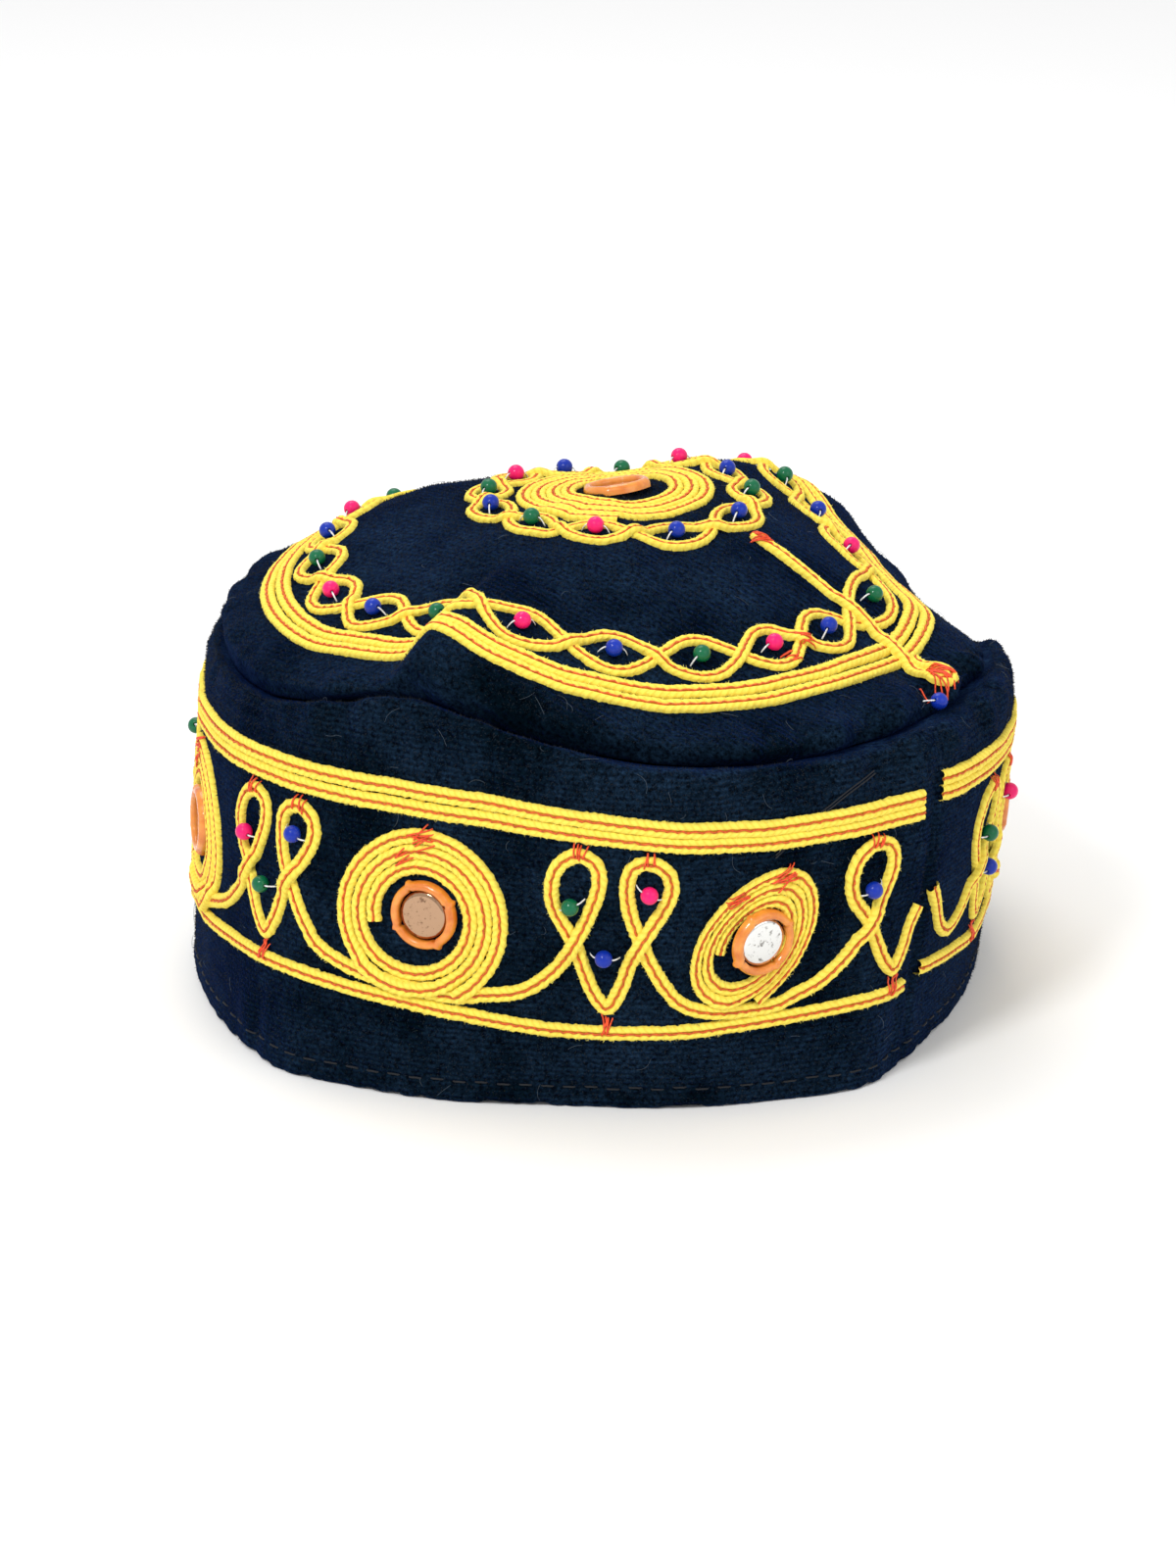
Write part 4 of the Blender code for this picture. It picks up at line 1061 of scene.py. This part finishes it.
tape_lines = []
for side in (-1, 1):
    tape_lines.append(round_the_band(
        lambda angle: BORDER_HEIGHT - BORDER_WIDTH / 2 + seam_rise(angle) + side * BORDER_WIDTH / 4
    ))
two_tapes("border_tapes", band_chart, tape_lines, BAND_GROUND, False, ["band_border"])
low_cord = one_cord(
    "low_cord", band_chart, smooth_path(round_the_band(cord_height), SPACING), BAND_GROUND, ["band_cord"]
)
vine_path, vine_lift = vine_route()
vine = one_cord(
    "vine_braid", band_chart, vine_path, Ground(band_shape, low_cord), ["vine_cord"], lift=vine_lift
)
under_roundels = Ground(band_shape, low_cord, vine)
coils = []
for index in range(len(ROUNDELS)):
    path = roundel_path(index)
    coils.append(one_cord(
        f"coil_{index + 1}", band_chart, path[:, :2], under_roundels, [f"roundel_{index + 1}"],
        widths=path[:, 2],
    ))

# Crown embroidery
crown_angles = np.arange(-180.0, 180.0, 3.0)
crown_lines = []
for share in (0.25, 0.75):
    crown_lines.append([
        on_crown(angle, float(ring_step(angle, BORDER_WIDTH * share)[0])) for angle in crown_angles
    ])
crown_tapes = two_tapes("crown_tapes", crown_chart, crown_lines, CROWN_GROUND, True, ["crown_border"])


def all_crossings(seen, lenses):
    left = lenses - len(seen) + 1
    step = (360.0 + seen[0] - seen[-1]) / left
    return list(seen) + [seen[-1] + step * index for index in range(1, left + 1)]


def wave(crossings, strand):
    stations = []
    for lens, (start, end) in enumerate(zip(crossings, crossings[1:])):
        side = 1 if (lens + strand) % 2 else -1
        for share in LENS_STATIONS:
            stations.append((start + (end - start) * share, side * math.sin(math.pi * share)))
    return stations


def medallion_spot(turn, radius):
    across = MEDALLION_X + radius * math.sin(math.radians(turn))
    back = MEDALLION_Y - radius * math.cos(math.radians(turn))
    return across, back


def ring_lattice_spot(angle, sway):
    return on_crown(angle, float(ring_step(angle, BORDER_WIDTH + CORD_GAP + LATTICE_WIDTH / 2 - sway)[0]))


MEDALLION_BAND = MEDALLION_RADIUS - COIL_RADIUS - CORD_GAP


def medallion_lattice_spot(turn, sway):
    return medallion_spot(turn, MEDALLION_RADIUS - MEDALLION_BAND / 2 + sway)


def make_lattice(name, crossings, width, spot_at):
    sway_reach = (width - LATTICE_CORD) / 2
    strands = []
    for strand in range(2):
        stations = [spot_at(turn, sway * sway_reach) for turn, sway in wave(crossings, strand)]
        path = smooth_path(stations, SPACING, closed=True)
        ground = Ground(crown_shape, *strands)
        strands.append(one_cord(
            f"{name}_braid_{strand + 1}", crown_chart, path, ground, [f"{name}_{strand + 1}"],
            width=LATTICE_CORD, closed=True,
        ))
    return strands


ring_crossings = all_crossings(RING_CROSSINGS, LATTICE_LENSES)
medal_crossings = all_crossings(MEDALLION_CROSSINGS, MEDALLION_LENSES)
ring_strands = make_lattice("crown_lattice", ring_crossings, LATTICE_WIDTH, ring_lattice_spot)
medal_strands = make_lattice("medallion_lattice", medal_crossings, MEDALLION_BAND, medallion_lattice_spot)
coil_stations = [
    medallion_spot(-turn, radius) for turn, radius in coil_offsets(COIL_RADIUS, MEDALLION_TURNS, 0.0)
]
medal_coil = one_cord(
    "medallion_braid", crown_chart, smooth_path(coil_stations, SPACING), CROWN_GROUND, ["medallion_coil"]
)
radial_path = smooth_path(
    [on_crown(RADIAL_ANGLE + turn, step) for turn, step in RADIAL_ROUTE + RADIAL_RETURN], SPACING
)
radial = one_cord(
    "radial_braid", crown_chart, radial_path, Ground(crown_shape, crown_tapes, *ring_strands),
    ["radial_cord"],
)


# Mirrors and beads
def seat(chart, spot, ground, reach):
    """(centre, east, north, up) of a small flat foot on the ground."""
    flat = np.array([spot])
    up = outward(chart, flat)[0]
    east = np.cross((0.0, 0.0, 1.0), up)
    if np.linalg.norm(east) < 0.05:
        east = np.array((1.0, 0.0, 0.0))
    east = east / np.linalg.norm(east)
    north = np.cross(up, east)
    centre = chart(flat)[0]
    turns = np.linspace(0.0, 2 * math.pi, 24, endpoint=False)
    feet = [centre]
    for share in (0.5, 0.9):
        feet += [centre + (east * math.cos(t) + north * math.sin(t)) * reach * share for t in turns]
    rises = ground.rise(np.array(feet), np.tile(up, (len(feet), 1)))
    return centre + up * (np.max(rises) + 0.0001), east, north, up


SQUEEZED_TILT = 13.0
CROWN_MIRROR_SINK = 0.0008


def tilted(foot, turn):
    """The same foot, turned about its upright side so that it looks further round the cap."""
    centre, east, north, up = foot
    return (
        centre, east * math.cos(turn) - up * math.sin(turn), north,
        up * math.cos(turn) + east * math.sin(turn),
    )


def lathe(foot, outline, sides, wobble=None):
    """A body turned round the foot's outward direction from (radius, height) points."""
    centre, east, north, up = foot
    outline = np.array(outline)
    points = []
    for index in range(sides):
        turn = 2 * math.pi * index / sides
        out = east * math.cos(turn) + north * math.sin(turn)
        grow = 1.0 if wobble is None else wobble(turn)
        points.append(centre + out * (outline[:, :1] * grow) + up * outline[:, 1:])
    points = np.vstack(points)
    return points, grid_faces(sides, len(outline), closed_rows=True)


def lug(turn):
    """Four small catches round the holder's rim."""
    return 1.0 + 0.10 * max(0.0, math.cos(4 * (turn - 0.5))) ** 40


MIRROR_OUTLINE = (
    (0.00001, 0.00118), (0.0022, 0.00117), (0.0044, 0.00112), (0.0052, 0.00100), (0.00548, 0.0006),
    (0.0055, 0.0),
)
RING_OUTLINE = (
    (0.00582, 0.0), (0.00578, 0.0012), (0.0059, 0.0018), (0.0063, 0.0021), (0.0069, 0.0021),
    (0.0074, 0.0017), (0.00772, 0.0010), (0.00775, 0.0),
)
mirror_feet = []
for coil, (centre, wide, *_) in zip(coils, ROUNDELS):
    ground = Ground(band_shape, coil)
    foot = seat(band_chart, near_roundel(centre, 0.0, MIRROR_LIFT), ground, MOUNT_RADIUS)
    mirror_feet.append(tilted(foot, math.radians(SQUEEZED_TILT)) if wide < 1.0 else foot)
ground = Ground(crown_shape, medal_coil)
middle, *directions = seat(crown_chart, medallion_spot(0.0, 0.0), ground, MOUNT_RADIUS)
mirror_feet.append((middle - directions[2] * CROWN_MIRROR_SINK, *directions))
# mirrors 1, 3, 5, 6 and 8 carry a painted tan reflection of warm surroundings
for name, glass, numbers in (("mirrors", GLASS, (2, 4, 7)), ("tan_reflection_mirrors", TAN_REFLECTION_GLASS, (1, 3, 5, 6, 8))):
    parts = [lathe(mirror_feet[number - 1], MIRROR_OUTLINE, 40) for number in numbers]
    add_joined(name, parts, glass, "mirror", [f"mirror_{number}" for number in numbers])
ring_parts = [lathe(foot, RING_OUTLINE, 96, lug) for foot in mirror_feet[:-1]]
ring_parts.append(lathe(mirror_feet[-1], RING_OUTLINE, 56, lug))
ring_names = [f"mirror_ring_{number}" for number in range(1, len(ring_parts) + 1)]
add_joined("mirror_holders", ring_parts, PLASTIC, "ring", ring_names)

BEAD_HOLE = 0.00045
THREAD_RADIUS = 0.00020
thread_parts = []


def bead_shape(foot, turn):
    """A drilled round bead lying on the cloth, with its thread running into the cloth at both ends."""
    centre, east, north, up = foot
    axis = east * math.cos(turn) + north * math.sin(turn)
    other = np.cross(up, axis)
    middle = centre + up * BEAD_RADIUS
    start = math.asin(BEAD_HOLE / BEAD_RADIUS)
    slope = np.linspace(start, math.pi - start, 15)
    outline = np.column_stack([BEAD_RADIUS * np.sin(slope), BEAD_RADIUS * np.cos(slope)])
    mouth = np.array((BEAD_HOLE, BEAD_RADIUS)) * 0.8
    outline = np.vstack([mouth, outline, mouth * (1.0, -1.0)])
    for sign in (-1.0, 1.0):
        share = np.linspace(0.0, 1.0, 6)[:, None]
        reach = BEAD_RADIUS * (0.85 + 0.85 * share)
        drop = BEAD_RADIUS * 0.95 * share**2
        path = middle + axis * (sign * reach) - up * drop
        side = np.tile(other, (6, 1))
        thread_parts.append(tube(path, side, np.tile(up, (6, 1)), THREAD_RADIUS, 5))
    return lathe((middle, other, up, axis), outline, 22)


bead_spots = []
for along, up_share, colours in BEADS:
    for repeat, colour in enumerate(colours):
        bead_spots.append((band_chart, vine_spot(repeat, along, up_share), BAND_GROUND, colour))
bead_spots.append((crown_chart, on_crown(*SEAM_BEAD), CROWN_GROUND, "b"))
replaced_beads = {key: [] for key in BEAD_COLOURS}
for number, (*_, colour) in enumerate(bead_spots, start=1):
    replaced_beads[colour].append(f"bead_{number}")
for crossings, colours, spot_at in (
    (ring_crossings, RING_BEADS, ring_lattice_spot),
    (medal_crossings, MEDALLION_BEADS, medallion_lattice_spot),
):
    for start, end, colour in zip(crossings, crossings[1:], colours):
        bead_spots.append((crown_chart, spot_at((start + end) / 2, 0.0), CROWN_GROUND, colour))
bead_parts = {key: [] for key in BEAD_COLOURS}
for chart, spot, ground, colour in bead_spots:
    foot = seat(chart, spot, ground, BEAD_RADIUS / 2)
    bead_parts[colour].append(bead_shape(foot, RANDOM.uniform(-0.5, 0.5)))
for key, (name, colour) in BEAD_COLOURS.items():
    glossy = bead_material(f"{name}_bead", colour)
    add_joined(f"{name}_beads", bead_parts[key], glossy, f"{name}_bead", replaced_beads[key])
add_joined("bead_threads", thread_parts, WHITE, "cord")

# A loose end of dark sewing thread over the border: angle and height
LOOSE_THREAD = ((21.6, 0.0625), (24.5, 0.0670), (28.0, 0.0715), (32.0, 0.0755), (36.5, 0.0785))

# Red thread over the cords
EVERYTHING_ON_BAND = Ground(band_shape, low_cord, vine, *coils)
EVERYTHING_ON_CROWN = Ground(crown_shape, crown_tapes, *ring_strands, *medal_strands, medal_coil, radial)
red_parts = []


def red_patch(chart, ground, spot, direction, count, length, spread):
    """A few uneven stitches of red thread across a cord."""
    turn = math.radians(direction)
    run = np.array((math.cos(turn), math.sin(turn)))
    across = np.array((-run[1], run[0]))
    for index in range(count):
        aside = across * spread * (index / max(count - 1, 1) - 0.5)
        middle = np.array(spot) + aside + RANDOM.normal(0, 0.0003, 2)
        tilt = run + across * RANDOM.normal(0.0, 0.22)
        half = length / 2 * RANDOM.uniform(0.7, 1.15)
        path = smooth_path([middle - tilt * half, middle, middle + tilt * half], 0.0005)
        places, sides, ups, _ = lay(chart, path, ground, 0.0004, drape=2)
        lift = 0.00022 * np.ones(len(places))
        lift[[0, -1]] = -0.0004
        red_parts.append(tube(places + ups * lift[:, None], sides, ups, THREAD_RADIUS, 5))


def red_on_band(spot, *stitches):
    red_patch(band_chart, EVERYTHING_ON_BAND, spot, *stitches)


for repeat in range(len(LOOP_ANGLES)):
    last = repeat == len(LOOP_ANGLES) - 1
    tip = vine_spot(repeat, 0.0, 0.02)
    red_on_band((tip[0], tip[1] - 0.0022), 80.0, 5, 0.0052, 0.0016)
    for along in (-0.077,) if last else (-0.077, 0.112):
        red_on_band(vine_spot(repeat, along, 1.02), 85.0, 4, 0.0036, 0.0022)
for centre, wide, tall, lean in ROUNDELS:
    across = lean * ROUNDEL_RADIUS * tall - COIL_SHIFT
    top = near_roundel(centre, across, (ROUNDEL_RADIUS - 0.0035) * tall)
    red_on_band(top, 25.0, 7, 0.0060, 0.0032)
    top = near_roundel(centre, -COIL_SHIFT - 0.004, (ROUNDEL_RADIUS - 0.0085) * tall)
    red_on_band(top, 30.0, 4, 0.0050, 0.0016)
for angle, step, direction, count, length, spread in (
    (57.2, 0.925, -20.0, 9, 0.0055, 0.0034), (54.5, 0.945, -60.0, 5, 0.0060, 0.0030),
    (63.8, 0.425, 10.0, 6, 0.0050, 0.0030), (42.0, 0.70, 30.0, 5, 0.0034, 0.0020),
    (37.0, 0.725, 40.0, 5, 0.0034, 0.0024), (-180.0, 0.74, 0.0, 4, 0.0034, 0.0020),
):
    red_patch(crown_chart, EVERYTHING_ON_CROWN, on_crown(angle, step), direction, count, length, spread)
add_joined("red_stitches", red_parts, RED, "cord")
add_joined("stitch_lines", stitch_parts, STITCH, "cord")
add_triangles("cord_fuzz", fuzz_parts, FUZZ, "cord")


# Pile, lint and sewing thread on the velvet
OUTER_ROWS = 66


def cloth_spots(shape, count):
    """Random places on a cloth's outer face with their outward directions."""
    points = shape[0]
    rows = len(points) // COLUMNS
    corners = points.reshape(COLUMNS, rows, 3)[:, :OUTER_ROWS]
    column = RANDOM.integers(0, COLUMNS, count)
    row = RANDOM.integers(0, OUTER_ROWS - 1, count)
    share = RANDOM.uniform(0.0, 1.0, (count, 2))
    a, b = corners[column, row], corners[(column + 1) % COLUMNS, row]
    c = corners[column, row + 1]
    spots = a + (b - a) * share[:, :1] + (c - a) * share[:, 1:]
    ups = unit(np.cross(b - a, c - a))
    middle = np.array((CENTRE_X, CENTRE_Y, 0.03))
    flip = np.einsum("ij,ij->i", ups, spots - middle) < 0
    ups[flip] *= -1
    return spots, ups, unit(b - a), unit(c - a)


pile_parts = []
for shape, count in ((band_shape, 70000), (crown_shape, 60000)):
    spots, ups, along, across = cloth_spots(shape, count)
    lean = RANDOM.normal(0.0, 0.45, (count, 2))
    way = unit(ups + along * lean[:, :1] + across * (lean[:, 1:] - 0.25))
    height = RANDOM.uniform(0.00035, 0.00075, (count, 1))
    turn = RANDOM.uniform(0.0, math.pi, (count, 1))
    side = (along * np.cos(turn) + across * np.sin(turn)) * 0.00009
    pile_parts.append(np.stack([spots - side, spots + side, spots + way * height], 1).reshape(-1, 3))
add_triangles("velvet_pile", pile_parts, PILE, "velvet")

lint_parts = []
for shape, count in ((band_shape, 130), (crown_shape, 90)):
    spots, ups, along, across = cloth_spots(shape, count)
    for spot, up, ahead, over in zip(spots, ups, along, across):
        turn = RANDOM.uniform(0.0, 2 * math.pi)
        run = ahead * math.cos(turn) + over * math.sin(turn)
        bend = np.cross(up, run) * RANDOM.normal(0.0, 0.6)
        share = np.linspace(-0.5, 0.5, 7)[:, None]
        length = RANDOM.uniform(0.0012, 0.0045)
        line = spot + run * share * length + bend * share**2 * length + up * 0.00045
        line = line + up * RANDOM.uniform(0.0, 0.0006) * (0.25 - share**2) * 4
        side = np.tile(np.cross(up, run), (7, 1))
        lint_parts.append(tube(line, side, np.tile(up, (7, 1)), 0.000045, 3))
add_joined("lint", lint_parts, LINT, "velvet")

hem_parts = []
for angle in np.arange(-180.0, 180.0, 3.1):
    start = np.array(on_band(angle, HEM_STITCH_HEIGHT + RANDOM.normal(0.0, 0.0002)))
    path = smooth_path([start, start + (0.0016, 0.0001), start + (0.0032, 0.0)], 0.0006)
    places, sides, ups, _ = lay(band_chart, path, BAND_GROUND, 0.0005, drape=2)
    sink = np.array([-0.0003] + [0.0002] * (len(places) - 2) + [-0.0003])
    hem_parts.append(tube(places + ups * sink[:, None], sides, ups, 0.00022, 5))
for shift in (0.0, 0.0007):
    path = smooth_path([on_band(a, v + shift) for a, v in LOOSE_THREAD], 0.0007)
    places, sides, ups, _ = lay(band_chart, path, EVERYTHING_ON_BAND, 0.0005, drape=6)
    lift = 0.0003 + 0.0008 * lumps(path[:, :2], 0.006, 51)
    hem_parts.append(tube(places + ups * lift[:, None], sides, ups, 0.00017, 5))
add_joined("hem_stitches", hem_parts, NAVY_THREAD, "velvet")


# Stage
FLOOR_REACH = 6.0
FLOOR_TONE = (0.93, 0.93, 0.93, 1.0)
WORLD_STRENGTH = 0.80
# Name, place, target, size and power of the soft lights
LIGHTS = (
    ("key", (-0.5, -0.9, 1.1), (0.0, 0.0, 0.06), 0.3, 9.0),
    ("fill", (0.9, -0.8, 0.7), (0.0, 0.0, 0.06), 0.9, 2.5),
    ("top", (-0.2, 0.5, 1.2), (0.0, 0.0, 0.08), 0.7, 5.0),
)


def area_light(name, location, target, size, power):
    light = bpy.data.lights.new(name, "AREA")
    light.energy = power
    light.size = size
    thing = bpy.data.objects.new(name, light)
    thing.location = location
    thing.rotation_euler = (Vector(target) - Vector(location)).to_track_quat("-Z", "Y").to_euler()
    bpy.context.scene.collection.objects.link(thing)


def make_stage():
    mesh = bpy.data.meshes.new("floor")
    corners = [(FLOOR_REACH * x, FLOOR_REACH * y, 0.0) for x, y in ((-1, -1), (1, -1), (1, 1), (-1, 1))]
    mesh.from_pydata(corners, [], [(0, 1, 2, 3)])
    material, _, shader, _ = new_material("pale_floor")
    settle(shader, {"Base Color": FLOOR_TONE, "Roughness": 0.9})
    mesh.materials.append(material)
    floor = bpy.data.objects.new("floor", mesh)
    bpy.context.scene.collection.objects.link(floor)
    world = bpy.data.worlds.new("studio")
    world.use_nodes = True
    settle(world.node_tree.nodes["Background"], {"Color": (1.0, 1.0, 1.0, 1.0), "Strength": WORLD_STRENGTH})
    bpy.context.scene.world = world
    bpy.context.scene.view_settings.view_transform = "Standard"
    for light in LIGHTS:
        area_light(*light)


LENS = 155.8
SENSOR_WIDTH = 36.0
CAMERA_LEVEL = math.radians(20.0)
CAMERA_DISTANCE = 1.15
CAMERA_TARGET = (CENTRE_X - 0.0042, CENTRE_Y - 0.034, 0.056)


def make_camera():
    camera = bpy.data.cameras.new("camera")
    camera.sensor_width = SENSOR_WIDTH
    camera.sensor_fit = "HORIZONTAL"
    camera.lens = LENS
    thing = bpy.data.objects.new("camera", camera)
    back = Vector((0.0, -math.cos(CAMERA_LEVEL), math.sin(CAMERA_LEVEL)))
    thing.location = Vector(CAMERA_TARGET) + CAMERA_DISTANCE * back
    thing.rotation_euler = (math.radians(90.0) - CAMERA_LEVEL, 0.0, 0.0)
    bpy.context.scene.collection.objects.link(thing)
    bpy.context.scene.camera = thing


make_stage()
make_camera()
